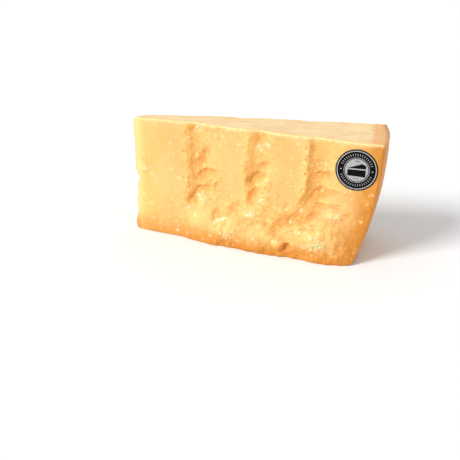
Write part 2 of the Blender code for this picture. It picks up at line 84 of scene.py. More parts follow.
# Furrows: the width of the wall beside the panel, the reach of the slope that climbs out, then the furrow's
# course as (height, place along the wedge, depth) from the foot up
FRONT_FURROWS = (
    (10, 28, (
        (24, 43, 0), (36, 43, 2), (52, 44.5, 2.8), (70, 44.5, 3.2), (86, 45, 2.4), (96, 43, 1.8),
        (106, 43, 1.6),
    )),
    (9, 24, (
        (34, 97, 0), (46, 97.5, 1.8), (56, 97.5, 2.6), (67, 97.5, 3.4), (82, 97.5, 2.4), (106, 100, 1.8),
    )),
    (5.6, 31, (
        (30, 137, 0), (40, 141, 1.2), (49, 145, 2.4), (58, 149.5, 3.8), (74, 151.5, 4.2), (90, 151.2, 3),
        (106, 151, 1.8),
    )),
)
BACK_FURROWS = (
    (7, 30, ((22, 30, 0), (40, 31, 2.4), (62, 32, 3.4), (88, 31, 2), (106, 31, 1))),
    (6, 32, ((26, 78, 0), (40, 80, 4), (60, 83, 5.2), (80, 82, 3.4), (106, 82, 1.4))),
    (5, 30, ((30, 130, 0), (44, 136, 4.6), (60, 140, 6), (82, 140, 3.6), (106, 140, 1.6))),
)

# Strokes where a flake broke away: depth, width of the wall, reach of the climb, and the wall's course as
# (along, height). The hollow lies on the left of the course, and fades towards both its ends
FRONT_STROKES = (
    (2, 4.8, 12, ((65, 92), (57, 80), (49, 66))),
    (2.2, 3.8, 12, ((80, 68), (70, 69), (62, 68), (55, 61), (50, 54))),
    (2.4, 4.4, 13, ((69, 61), (62, 54), (53, 49), (46, 37), (43, 31))),
    (2, 4, 9, ((51, 110), (48, 102), (47, 93))), (1.6, 3.6, 10, ((78, 62), (71, 56), (66, 46))),
    (2, 4, 11, ((74.5, 39), (70, 31), (69, 18))), (1.4, 4, 11, ((96, 47), (88, 40), (80, 37))),
    (1.6, 4, 10, ((109, 108), (106, 100), (103, 90))), (2, 3.6, 11, ((123, 85), (113, 80), (105, 73))),
    (3, 4.2, 12, ((121, 72.5), (112, 72.5), (104, 70), (98, 62), (96, 54))),
    (2.2, 4, 11, ((109, 61), (102, 53), (99, 39))),
    (1.8, 4.4, 12, ((172, 70), (163, 67), (156, 60), (150, 50), (145, 43))),
    (1.3, 2.6, 8, ((174, 62.5), (165, 59), (158, 54), (153, 45))),
    (1.2, 2.6, 8, ((169, 48), (160, 45), (154, 40), (150, 33))),
    (2, 3.6, 10, ((180, 81), (170, 81), (161, 78), (155, 70))),
    (1.8, 4.2, 12, ((188, 54), (174, 52.5), (162, 53), (151, 49))),
    (1.8, 5.2, 14, ((148, 40), (138, 38), (128, 34), (122, 26), (120, 14))),
    (1.4, 3.2, 10, ((190, 44), (180, 41), (170, 43))), (1.4, 4, 10, ((184, 24), (178, 16), (177, 4))),
    (1.6, 3, 8, ((80, 11), (76, 6), (75, -4))), (1.2, 3, 9, ((105, 15), (98, 10), (93, 9))),
)
BACK_STROKES = (
    (2.6, 3, 12, ((48, 90), (39, 82), (32, 70))), (2.8, 2.2, 11, ((54, 60), (44, 58), (36, 50))),
    (2, 3, 10, ((42, 42), (36, 34), (33, 24))), (3, 2.6, 12, ((102, 88), (93, 80), (85, 76))),
    (3.2, 2.2, 11, ((106, 64), (96, 62), (86, 54), (82, 46))), (2.4, 3, 12, ((100, 40), (90, 36), (84, 26))),
    (2, 3, 10, ((78, 26), (70, 20), (66, 10))), (3, 2.6, 12, ((160, 90), (151, 84), (143, 76))),
    (3.4, 2.4, 11, ((162, 66), (153, 64), (144, 56), (139, 44))),
    (2.4, 3.4, 12, ((143, 36), (132, 29), (124, 18))), (2, 3, 10, ((180, 40), (171, 33), (166, 22))),
)
STROKE_TAPER = 0.011
STROKE_WANDER_SIZE, STROKE_WANDER, FURROW_WANDER = 0.006, 0.0012, 0.0006

# Soft hollows, and mounds between the strokes: along, height, half length, half height, depth, tilt
FRONT_HOLLOWS = (
    (137.5, 10, 6, 4.4, 3.4, 16), (156, 96, 5, 10, 1, 0), (86, 30, 12, 6, 1, 30), (118, 27, 7, 5, 1, -20),
)
FRONT_MOUNDS = (
    (60, 40, 9, 12, 2.6, -30), (60, 24, 15, 20, 2.2, -14), (85, 20, 20, 15, 2.8, 20),
    (58, 75, 6, 6, 1.8, 30), (66, 61, 7, 5, 1.8, 20), (106, 36, 15, 11, 2.8, 30), (115, 48, 11, 11, 2.4, 40),
    (115, 60, 9, 8, 2, 20), (160, 24, 26, 18, 3.8, 10), (131, 11, 8, 6.4, 4, 10), (172, 66, 15, 9, 2.4, 10),
    (176, 45, 13, 7, 1.6, -10), (5, 61, 9, 7, 1.1, 0),
)
BACK_HOLLOWS = ((88, 58, 7, 6, 1.6, 15), (142, 42, 6, 8, 1.6, 10), (125, 22, 11, 6, 1.6, -15))
BACK_MOUNDS = (
    (50, 25, 16, 18, 3, 10), (80, 30, 12, 20, 2.6, -20), (106, 45, 16, 13, 2.8, 25),
    (108, 16, 18, 12, 2.6, 0), (145, 20, 17, 15, 3.4, 15), (164, 56, 12, 16, 2.4, -10),
    (180, 25, 16, 18, 2.2, 0),
)

# Crags of the broken paste: size, then height. They are lower on the wedge's upper half
LUMP_SIZE, LUMP_RISE = 0.021, 0.0016
CRAG_SIZE, CRAG_RISE = 0.0085, 0.0013
GRAIN_SIZE, GRAIN_RISE = 0.0042, 0.0006
CRAG_UPPER_SHARE, CRAG_UPPER_FROM, CRAG_LOWER_TO = 0.55, 0.060, 0.030
CELL_MEAN = 0.45  # the usual distance from a place to the middle of its cell, in cells
CELL_HASH, CELL_HASH_STEP = np.array((12.9898, 78.233, 37.719)), 43758.5453  # give each cell its own share

# Rings of broken flakes round each furrow's heart
RIPPLE_STEP, RIPPLE_RISE, RIPPLE_REACH = 0.0062, 0.0008, 0.026
RIPPLE_SQUASH = 0.8  # the rings' width as a share of their height
RIPPLE_WANDER, RIPPLE_WANDER_SIZE = 0.5, 0.0105  # in steps, and the size of the wandering

PANEL_WAVE_SIZE, PANEL_WAVE_RISE = 0.030, 0.0004
RIND_WAVE_SIZE, RIND_WAVE_RISE = 0.024, 0.0004
TOP_WAVE_RISE = 0.00015
BACK_SHIFT = np.array((3.7, 1.3, 5.1))
NO_SHIFT = np.zeros(3)

# Finer relief than the solid has: broken facets, crumbs and pits, and the faint drag of the wire on the top
FACET_SIZE, FACET_RISE = 0.0080, 0.0008
CHIP_SIZE, CHIP_RISE = 0.0036, 0.00036
CRUMB_SIZE, CRUMB_RISE = 0.0021, 0.00016
CELL_SEAM = 0.3  # how near to a cell's border its plane fades, in cells
PIT_SIZE, PIT_DEPTH, PIT_SHARE, PIT_RADIUS = 0.0052, 0.0005, 0.2, 0.35  # radius in cells
PANEL_PIT_SIZE, PANEL_PIT_DEPTH, PANEL_PIT_RADIUS = 0.0060, 0.00015, 0.22
WIRE_LENGTH, WIRE_STEP, WIRE_RISE = 0.050, 0.0019, 0.00005
BURR_REACH, BURR_RISE, BURR_SIZE, BURR_SHARE = 0.0038, 0.0003, 0.00425, 0.3
RIND_PIT_SIZE, RIND_PIT_DEPTH, RIND_PIT_SHARE, RIND_PIT_RADIUS = 0.0034, 0.00022, 0.4, 0.4
RIND_BAND_STEP, RIND_BAND_RISE = 0.0045, 0.00006
TIP_TURN_REACH, TIP_TURN = 0.0085, 0.0014
# Painted highlight where the tip turns, and painted light near the tip
TIP_HIGHLIGHT, TIP_LIGHT, TIP_LIGHT_REACH = 0.6, 0.55, 0.034

# Creases of both sides and small cracks of the front, in the same form as the strokes and hollows
FRONT_CREASES = (
    (1.3, 3, 10, ((168, 37), (158, 34.5), (147, 29), (134, 26))),
    (1.1, 2.6, 8, ((186, 64), (176, 65.5), (166, 64), (157, 60))),
    (0.9, 2.2, 6, ((194, 48), (185, 45.5), (176, 47))), (0.8, 2.2, 6, ((170, 90), (162, 88), (155, 83))),
    (0.9, 2.4, 7, ((118, 32), (109, 29), (101, 23))), (0.8, 2.2, 6, ((72, 82), (64, 80), (57, 74))),
)
FRONT_CRACKS = (
    (152.5, 65, 2.2, 1.2, 1.2, 30), (159, 60, 1.8, 1.1, 1.2, -20), (161, 53, 1.4, 2.2, 1, 10),
    (99, 56, 1.4, 1.4, 0.9, 0), (73, 3, 2.4, 1.4, 1, 10), (138, 12, 3, 1.4, 1, 20),
    (150.8, 96, 1.6, 3.4, 1.1, 0), (151.2, 86, 1.4, 2.2, 0.9, 10), (151, 74, 1.8, 2.6, 1.1, -10),
    (149, 60, 1.8, 2.4, 1, -30), (97.5, 90, 1.6, 3, 1, 0), (97.2, 74, 1.5, 2, 0.9, 0),
    (44, 80, 1.6, 2.8, 0.9, 0), (44.2, 56, 1.5, 2.2, 0.9, 0), (148.5, 34.5, 6.4, 3, 1.4, 20),
    (159, 38.5, 5, 2.6, 1, 30),
)
BACK_CREASES = (
    (1.6, 3, 10, ((72, 78), (60, 72), (50, 60))), (1.4, 3, 9, ((60, 46), (54, 34), (55, 20))),
    (1.6, 3.4, 11, ((118, 98), (109, 90), (100, 76))),
    (1.6, 3, 10, ((122, 48), (113, 40), (102, 28), (98, 16))), (1.4, 3, 9, ((126, 11), (116, 8), (104, 9))),
    (1.8, 3.4, 11, ((176, 76), (168, 64), (162, 50))), (1.4, 2.8, 9, ((170, 98), (164, 92), (160, 84))),
    (1.6, 3, 10, ((164, 46), (156, 36), (152, 22))), (1.2, 2.6, 8, ((46, 12), (40, 8), (32, 8))),
    (1.2, 2.6, 8, ((193, 62), (185, 56), (178, 54))),
)

# Patches of painted shade, where the paste is darker: along, height, half length, half height, share, tilt
FRONT_SHADE_PATCHES = (
    (139, 33, 20, 11, 0.45, 15), (150, 52, 10, 16, 0.3, -35), (123, 24, 9, 15, 0.35, -20),
    (158, 74, 8, 20, 0.2, 0), (73, 3, 6, 4, 0.6, 0), (136, 8, 10, 7, 0.5, 10), (47, 90, 7, 16, 0.15, 0),
    (102, 90, 8, 18, 0.15, 0), (170, 24, 30, 18, 0.22, 0), (118, 36, 12, 20, 0.15, 0),
    (149, 35, 14, 8, 0.75, 20), (140, 38, 16, 8, 0.45, 10), (159, 41, 10, 13, 0.45, -40),
    (160, 59, 11, 9, 0.5, 30), (160, 8, 42, 12, 0.45, 0),
)
BACK_SHADE_PATCHES = (
    (48, 48, 16, 26, 0.3, 20), (93, 30, 22, 15, 0.35, -15), (148, 30, 24, 18, 0.35, 20),
    (100, 86, 8, 18, 0.25, 0), (162, 60, 14, 30, 0.25, -15), (40, 90, 7, 16, 0.2, 0),
)
BACK_DEEP_SHADE_SHARE = 0.6  # the far side's hollows get less painted shade

# The tip, seen from the side: chips out of its edge (height, half height, depth) and rounded corners
TIP_START = -0.0018
TIP_SLANT = 0.0080
TIP_CHIPS = ((50, 8, 3.4), (38, 12, 1.4), (100, 13, -0.8), (19, 7, 1.2), (6, 10, -1.4))
TIP_CORNER = 0.0035

# The label, on a flat spot of the front that is turned with the side and leans as it does
LABEL_ALONG, LABEL_UP = 0.1925, 0.0835
LABEL_RADIUS = 0.0173
LABEL_LOW, LABEL_HIGH = 0.00015, 0.00065  # underside and face of the label, out of the flat spot
SEAT_ACROSS = -0.0262
SEAT_TURN, SEAT_LEAN = 6.8, 5.6
SEAT_MARGIN, SEAT_FADE = 0.0009, 0.009
SEAT_LIFT = 0.00022  # the paste under the label comes this far towards it

# The label's rings, as shares of its radius from the middle out: outer edge and finish
LABEL_RINGS = (
    (0.550, "silver"), (0.590, "black"), (0.612, "silver"), (0.898, "black"), (0.942, "silver"),
    (1.000, "black"),
)
RING_RISE = 0.00003
LABEL_SIDES = 128

# Its marks: beads round the black ring but for two gaps, a stud in each gap, and two rows of dots
BEAD_RING, BEAD_LENGTH, BEAD_WIDTH, BEADS = 0.745, 0.11, 0.012, 42
BEAD_GAPS = (0.0, 180.0)
BEAD_GAP_HALF = 14.0
STUD_RADIUS, STUD_SIDES = 0.034, 16
DOTS_UP, DOTS_STEP, DOT_RADIUS = (0.44, -0.42), 0.095, 0.026

# The wedge drawn in the label's middle, as shares of its radius
ICON_TOP = ((0.43, 0.09), (0.43, 0.24), (0.25, 0.33), (-0.43, 0.07))
ICON_FRONT = ((-0.43, -0.29), (0.43, -0.31), (0.43, 0.03), (-0.43, 0.01))

# Fineness
ALONG_CELLS, UP_CELLS, ACROSS_CELLS = 350, 170, 46
CHEESE_TRIANGLES = 188000

# The wedge's tints, one number each at every vertex, and how far they reach. Most of them carry painted
# light:
# painted shade in hollows, furrows, strokes and on walls, painted highlights on ridges, along the top edges
# and where the tip turns, painted light near the tip, and pale spots round the crystals that are partly
# painted glints
TINTS = ("shade", "rind", "cut", "rough", "deep", "edge", "tip", "wall", "bloom_and_glint", "painted_tip_light")
RIND_DEPTH_BARREL, RIND_DEPTH_TOP, RIND_DEPTH_BASE = 0.031, 0.0140, 0.0170
RIND_WANDER, RIND_WANDER_SIZE, RIND_TOP_BAND = 0.0024, 0.012, 0.004
BASE_AT_TIP, BASE_DEPTH_AT_TIP, BASE_FULL_FROM = 0.62, 0.028, 0.130
SHADE_NEAR, SHADE_FAR = 0.0022, 0.0070  # blur widths that tell hollows from ridges
SHADE_NEAR_DEPTH, SHADE_FAR_DEPTH = 0.00045, 0.0016
SHADE_NEAR_SHARE, SHADE_FAR_SHARE = 0.45, 0.75
WALL_BLUR, WALL_STEEP, WALL_UP_SHARE = 0.0009, 0.55, 0.25
BLOOM_AND_GLINT_REACH = 1.5  # of a cluster's half sizes
FURROW_FULL, STROKE_FULL = 0.0080, 0.0034  # depths at which the paste's painted shade is at its darkest

# Clusters of crystals on the front: along, height, half length, half height, tilt, how many
CRYSTAL_CLUSTERS = (
    (106, 34, 5.6, 2.8, 10, 20), (80, 25.5, 7.6, 1.4, 30, 20), (114, 46, 2.6, 2.8, 0, 9),
    (158, 24.5, 6, 1.8, -10, 14), (163, 16, 9, 4.4, 10, 40), (146, 25, 4, 3.4, 0, 8),
    (60, 40, 4.2, 6, 40, 10), (118, 95, 3, 2.6, 20, 9), (110, 91, 4, 4, 20, 5), (57, 102, 3.4, 2.6, 0, 9),
    (7.5, 60.5, 3.6, 2.4, 0, 8), (86, 13, 7, 6, 0, 10), (93, 93, 3, 2.4, 0, 4), (155, 81, 1.6, 1.2, 0, 3),
    (156, 104, 3, 1.6, 0, 6), (176, 42, 9, 5, -20, 6),
)
CLUSTER_SPREAD = 0.5
LOOSE_CRYSTALS = 110
LOOSE_ALONG, LOOSE_UP, LOOSE_OFF_LABEL = (0.006, 0.198), (0.004, 0.102), 1.15
CRYSTAL_SMALL, CRYSTAL_LARGE, CLUSTER_LARGE, CRYSTAL_SUNK = 0.0005, 0.0011, 0.0011 * 1.25, 0.6
CRYSTAL_LENGTH, CRYSTAL_WIDTH = (0.8, 1.9), (0.6, 1.0)  # as shares of its size

# Colours of the paste from dull panels to deep furrows: pale and dark flecks that also give the ridges their
# painted highlight and the hollows their painted shade, painted shade in furrows and on walls, painted light
# near the tip and a painted highlight on the top edges; then of the rind, of the cut top and of the crystals
PASTE_DULL, PASTE_BRIGHT = colour(239, 189, 116), colour(243, 197, 127)
PASTE_BROKEN = colour(244, 192, 110)
PASTE_PALE_FLECK_AND_RIDGE_HIGHLIGHT = colour(250, 213, 132)
PASTE_DARK_FLECK_AND_HOLLOW_SHADE = colour(240, 180, 98)
PASTE_DEEP_SHADE = colour(232, 160, 76)
PASTE_WALL_SHADE = colour(253, 190, 97)
PASTE_TIP_LIGHT = colour(244, 214, 118)
PASTE_EDGE_HIGHLIGHT = colour(252, 226, 162)
RIND_SKIN, RIND_PALE, RIND_DARK = colour(216, 138, 36), colour(228, 158, 62), colour(202, 122, 28)
TOP_DULL, TOP_BRIGHT, TOP_RIND = colour(243, 206, 152), colour(249, 220, 170), colour(238, 178, 116)
CRYSTAL_WHITE = colour(254, 230, 176)
CRYSTAL_DULL, CRYSTAL_BRIGHT = colour(253, 230, 168), colour(255, 244, 204)
LABEL_BLACKS = (0.003, 0.003, 0.003, 1.0), (0.006, 0.005, 0.005, 1.0)
LABEL_SILVERS = (0.30, 0.30, 0.30, 1.0), (0.68, 0.68, 0.68, 1.0)
FLOOR_WHITES = (0.92, 0.92, 0.92, 1.0), (0.94, 0.94, 0.94, 1.0)

# Round white spots in the paste: scale, share of the cells, outer and inner radius, strength
SPOT_BEND = 0.0012
CRYSTAL_SPOTS = ((125.0, 0.50, 0.30, 0.06, 0.6), (230.0, 0.30, 0.32, 0.08, 0.5))

# The camera, from the photograph's own vanishing points
CAMERA_PLACE = (0.0934, -0.6552, 0.3435)
CAMERA_HEADING, CAMERA_PITCH, CAMERA_ROLL = 9.90, 26.94, 0.46
CAMERA_LENS, CAMERA_SENSOR = 64.8, 36.0

# Light and floor
WORLD_STRENGTH, KEY_STRENGTH, KEY_SOFTNESS = 0.62, 2.4, 22.0
KEY_FROM = (-0.62, -0.50, 0.66)
FLOOR_RADIUS, FLOOR_SIDES = 6.0, 96
FLOOR_UNDER = 0.00005  # how far the floor lies under the base, so that they don't overlap


def ease(t):
    """0 before 0, 1 after 1, with a smooth climb between."""
    t = np.clip(t, 0.0, 1.0)
    return t * t * (3.0 - 2.0 * t)


def curve(value, knots, column=1):
    """Height of a smooth curve through knots, read from one of their columns, level past its ends."""
    place, height = (MM * np.array([knot[k] for knot in knots]) for k in (0, column))
    after = np.minimum(np.arange(len(knots)) + 1, len(knots) - 1)
    before = np.maximum(np.arange(len(knots)) - 1, 0)
    slope = (height[after] - height[before]) / (place[after] - place[before])
    value = np.clip(value, place[0], place[-1])
    k = np.clip(np.searchsorted(place, value, side="right") - 1, 0, len(knots) - 2)
    span = place[k + 1] - place[k]
    t = (value - place[k]) / span
    bend = slope[k] * span * t * (1.0 - t) ** 2 - slope[k + 1] * span * t * t * (1.0 - t)
    return height[k] + (height[k + 1] - height[k]) * ease(t) + bend


def fillet_inset(distance, radius):
    """How far a rounded corner draws in, at a distance from the edge."""
    left = 1.0 - np.clip(distance / radius, 0.0, 1.0)
    return radius * (1.0 - np.sqrt(1.0 - left * left))


def smooth_noise(x, y, z, size, shift=NO_SHIFT):
    """Soft noise from about -1 to 1 at every place."""
    places = np.stack(np.broadcast_arrays(x, y, z), axis=-1) / size + shift
    values = [noise.noise(Vector(place)) for place in places.reshape(-1, 3)]
    return np.array(values).reshape(places.shape[:-1])


def cell_noise(x, y, z, size, shift=NO_SHIFT):
    """A random scatter of cells: distance to the nearest cell's middle, how much nearer it is than the next,
    the cell's own random share, and the height of the cell's own tilted plane."""
    places = np.stack(np.broadcast_arrays(x, y, z), axis=-1) / size + shift
    flat = places.reshape(-1, 3)
    distance, gap, middle = np.empty(len(flat)), np.empty(len(flat)), np.empty((len(flat), 3))
    for k, place in enumerate(flat):
        found, points = noise.voronoi(Vector(place))
        distance[k], gap[k], middle[k] = found[0], found[1] - found[0], points[0]
    share = (np.sin(middle @ CELL_HASH) * CELL_HASH_STEP) % 1.0
    away = flat - middle
    plane = away[:, 0] * np.cos(share * math.tau) + away[:, 2] * np.sin(share * math.tau)
    return tuple(values.reshape(places.shape[:-1]) for values in (distance, gap, share, plane))


def rind_radius(z):
    """Distance of the rind from the wheel's axis at a height."""
    below = np.clip(1.0 - z / HEIGHT, 0.0, 1.0)
    return RADIUS - BARREL_INSET * below**BARREL_POWER - fillet_inset(z, RIND_FILLET)


def tip_start(z):
    """Where the tip begins at a height, with its chips."""
    chips = sum(depth * MM * ease(1.0 - np.abs(z / MM - height) / half) for height, half, depth in TIP_CHIPS)
    return TIP_START + chips + fillet_inset(HEIGHT - z, TIP_CORNER) + fillet_inset(z, TIP_CORNER)


def furrows(x, z, table):
    """Depth of the furrows at a place: a wall beside each smooth panel, then a long climb."""
    deepest = np.zeros_like(x)
    for wall, reach, course in table:
        past = x - curve(z, course, 1)
        shape = ease(past / (wall * MM)) * (1.0 - ease((past / MM - wall) / (reach - wall)))
        deepest = np.maximum(deepest, curve(z, course, 2) * shape)
    return deepest


def oval(x, z, along, up, half_x, half_z, tilt):
    """1 in the middle of a tilted oval, fading smoothly to 0 at its rim."""
    turn = math.radians(tilt)
    dx, dz = x - along * MM, z - up * MM
    across = (dx * math.cos(turn) + dz * math.sin(turn)) / (half_x * MM)
    upward = (dz * math.cos(turn) - dx * math.sin(turn)) / (half_z * MM)
    return ease(1.0 - np.hypot(across, upward))


def ovals(x, z, table):
    """Sum of the heights, depths or shares of soft ovals at a place, in the table's own unit."""
    height = 0.0
    for along, up, half_x, half_z, rise, tilt in table:
        height += rise * oval(x, z, along, up, half_x, half_z, tilt)
    return height


def strokes(x, z, table, wander):
    """Depth of the strokes at a place: a wall on the course, then a climb on its left, faded at both ends."""
    total = np.zeros_like(x)
    for depth, wall, reach, course in table:
        points = MM * np.array(course)
        spans = np.diff(points, axis=0)
        lengths = np.hypot(spans[:, 0], spans[:, 1])
        starts = np.concatenate([[0.0], np.cumsum(lengths)])
        nearest, side, run = np.full_like(x, 1.0), np.zeros_like(x), np.zeros_like(x)
        for (px, pz), (sx, sz), length, start in zip(points[:-1], spans / lengths[:, None], lengths, starts):
            dx, dz = x - px, z - pz
            along = np.clip(dx * sx + dz * sz, 0.0, length)
            away = np.hypot(dx - along * sx, dz - along * sz)
            left = -sz * dx + sx * dz
            better = away < nearest
            nearest = np.where(better, away, nearest)
            side = np.where(better, np.where(left > 0.0, away, -away), side)
            run = np.where(better, start + along, run)
        side = side + wander
        ends = ease(run / STROKE_TAPER) * ease((starts[-1] - run) / STROKE_TAPER)
        climb = 1.0 - ease((side / MM - wall) / (reach - wall))
        total = np.maximum(total, depth * MM * ease(side / (wall * MM)) * climb * ends)
    return total


def ripples(x, z, table):
    """Rings of broken flakes that spread from each furrow towards the rind."""
    rise = np.zeros_like(x)
    wander = RIPPLE_WANDER * smooth_noise(x, 0.0, z, RIPPLE_WANDER_SIZE)
    for _, _, course in table:
        heart_z = course[len(course) // 2][0] * MM
        dx, dz = x - curve(np.array(heart_z), course, 1), z - heart_z
        away = np.hypot(dx, dz * RIPPLE_SQUASH)
        phase = (away / RIPPLE_STEP + wander) % 1.0
        ring = ease(dx / RIPPLE_STEP) * np.clip(1.0 - away / RIPPLE_REACH, 0.0, 1.0)
        rise += RIPPLE_RISE * ring * (phase - 0.5)
    return rise


def craggy(x, z, panels, calm):
    """How rough the paste is at a place, from 0 on the smooth panels to 1 on a clean break."""
    rough = np.ones_like(x)
    for start, end, low in panels:
        inside = ease((x - start * MM) / PANEL_FADE + 0.5) * ease((end * MM - x) / PANEL_FADE + 0.5)
        rough = np.minimum(rough, 1.0 - inside * ease((z - low * MM) / (2.0 * PANEL_FADE) + 0.5))
    for along, up, half_x, half_z, share in calm:
        rough *= 1.0 - share * oval(x, z, along, up, half_x, half_z, 0.0)
    return rough


def crags(x, z, rough, shift):
    """Height of the paste's grain that the solid has too."""
    lower = ease((CRAG_UPPER_FROM - z) / (CRAG_UPPER_FROM - CRAG_LOWER_TO))
    share = CRAG_UPPER_SHARE + (1.0 - CRAG_UPPER_SHARE) * lower
    cells, _, _, _ = cell_noise(x, 0.0, z, CRAG_SIZE, shift)
    broken = LUMP_RISE * smooth_noise(x, 0.0, z, LUMP_SIZE, shift) + CRAG_RISE * (CELL_MEAN - cells)
    broken += GRAIN_RISE * smooth_noise(x, 0.0, z, GRAIN_SIZE, shift)
    return rough * share * broken + PANEL_WAVE_RISE * smooth_noise(x, 0.0, z, PANEL_WAVE_SIZE, shift)


def fine_relief(x, z, rough, shift):
    """Relief that only the dressed wedge has: facets, crumbs and pits, and faint pits on the panels."""
    _, facet_gap, _, facet = cell_noise(x, 0.0, z, FACET_SIZE, shift)
    _, chip_gap, _, chip = cell_noise(x, 0.0, z, CHIP_SIZE, shift)
    crumbs, _, _, _ = cell_noise(x, 0.0, z, CRUMB_SIZE, shift)
    pits, _, share, _ = cell_noise(x, 0.0, z, PIT_SIZE, shift)
    relief = FACET_RISE * facet * ease(facet_gap / CELL_SEAM) + CHIP_RISE * chip * ease(chip_gap / CELL_SEAM)
    relief += CRUMB_RISE * (CELL_MEAN - crumbs)
    relief -= PIT_DEPTH * (share < PIT_SHARE) * ease(1.0 - pits / PIT_RADIUS)
    panel_pits, _, _, _ = cell_noise(x, 0.0, z, PANEL_PIT_SIZE, shift)
    return rough * relief - (1.0 - rough) * PANEL_PIT_DEPTH * ease(1.0 - panel_pits / PANEL_PIT_RADIUS)


def recess(x, z, furrow_table, stroke_table, hollow_table, shift):
    """How deep a place lies in the furrows, strokes and hollows."""
    wander = smooth_noise(x, 0.0, z, STROKE_WANDER_SIZE, shift)
    broken = strokes(x, z, stroke_table, STROKE_WANDER * wander) + MM * ovals(x, z, hollow_table)
    return furrows(x + FURROW_WANDER * wander, z, furrow_table), broken


def stand_out(x, z, lean, swell, rough, furrow_table, stroke_table, hollow_table, mound_table, shift):
    """How far a broken side stands out of the upright through its line at the top."""
    form = curve(x, lean) * (1.0 - z / HEIGHT) + curve(x, swell) * ease((SWELL_TOP - z) / SWELL_OVER)
    form += MM * ovals(x, z, mound_table) - sum(recess(x, z, furrow_table, stroke_table, hollow_table, shift))
    form -= TIP_TURN * (1.0 - ease((x - TIP_START) / TIP_TURN_REACH))
    return form + ripples(x, z, furrow_table) + crags(x, z, rough, shift) + fine_relief(x, z, rough, shift)


def seat_y(x, z):
    """The plane of the flat spot under the label."""
    turn, lean = math.tan(math.radians(SEAT_TURN)), math.tan(math.radians(SEAT_LEAN))
    return SEAT_ACROSS - SEAT_LIFT - (x - LABEL_ALONG) * turn + (z - LABEL_UP) * lean


def front_y(x, z):
    """The side with the label, flat under it."""
    rough = craggy(x, z, FRONT_PANELS, FRONT_CALM)
    tables = FRONT_FURROWS, FRONT_STROKES + FRONT_CREASES, FRONT_HOLLOWS + FRONT_CRACKS, FRONT_MOUNDS
    out = stand_out(x, z, FRONT_LEAN, FRONT_SWELL, rough, *tables, NO_SHIFT)
    away = np.hypot(x - LABEL_ALONG, z - LABEL_UP) - LABEL_RADIUS
    flat = 1.0 - ease((away - SEAT_MARGIN) / SEAT_FADE)
    return (curve(x, FRONT_LINE) - out) * (1.0 - flat) + seat_y(x, z) * flat


def back_y(x, z):
    """The other broken side."""
    rough = craggy(x, z, BACK_PANELS, BACK_CALM)
    tables = BACK_FURROWS, BACK_STROKES + BACK_CREASES, BACK_HOLLOWS, BACK_MOUNDS
    return curve(x, BACK_LINE) + stand_out(x, z, BACK_LEAN, BACK_SWELL, rough, *tables, BACK_SHIFT)


def corner_x(z, y):
    """Where the rind begins at one of its upright corners."""
    radius = rind_radius(z)
    return np.sqrt(radius * radius - y * y) - RIND_BOW


def side_grid(side_y, slant):
    """Places of one broken side, by column from the tip and row from the foot, short of the rounded edges."""
    z = EDGE + (HEIGHT - 2.0 * EDGE) * np.arange(UP_CELLS + 1) / UP_CELLS
    start = tip_start(z) + slant + EDGE
    end = corner_x(z, side_y(rind_radius(z), z)) - EDGE
    share = np.arange(ALONG_CELLS + 1) / ALONG_CELLS
    x = start[None, :] + (end - start)[None, :] * share[:, None]
    z = np.broadcast_to(z[None, :], x.shape)
    return np.stack([x, side_y(x, z), z], axis=-1)


def rim_places():
    """Grid places round the sides' edge in order, each with its outward direction in the side's plane."""
    last_i, last_j = ALONG_CELLS, UP_CELLS
    foot = [(i, 0) for i in range(last_i)]
    rind = [(last_i, j) for j in range(last_j)]
    top = [(i, last_j) for i in range(last_i, 0, -1)]
    tip = [(0, j) for j in range(last_j, 0, -1)]
    places = np.array(foot + rind + top + tip)
    out_x = (places[:, 0] == last_i).astype(float) - (places[:, 0] == 0)
    out_z = (places[:, 1] == last_j).astype(float) - (places[:, 1] == 0)
    return places[:, 0], places[:, 1], out_x, out_z


def across_steps(thickness):
    """Distances across the wedge where the rim has points: close together in the rounded edges."""
    rounded = EDGE * (1.0 - np.cos(np.radians(EDGE_STEPS)))
    inner = ACROSS_CELLS - 2 * len(rounded)
    middle = EDGE + (thickness[:, None] - 2.0 * EDGE) * np.arange(1, inner)[None, :] / inner
    near = np.broadcast_to(rounded, (len(thickness), len(rounded)))
    return np.concatenate([near, middle, thickness[:, None] - near[:, ::-1]], axis=1)[:, :-1]


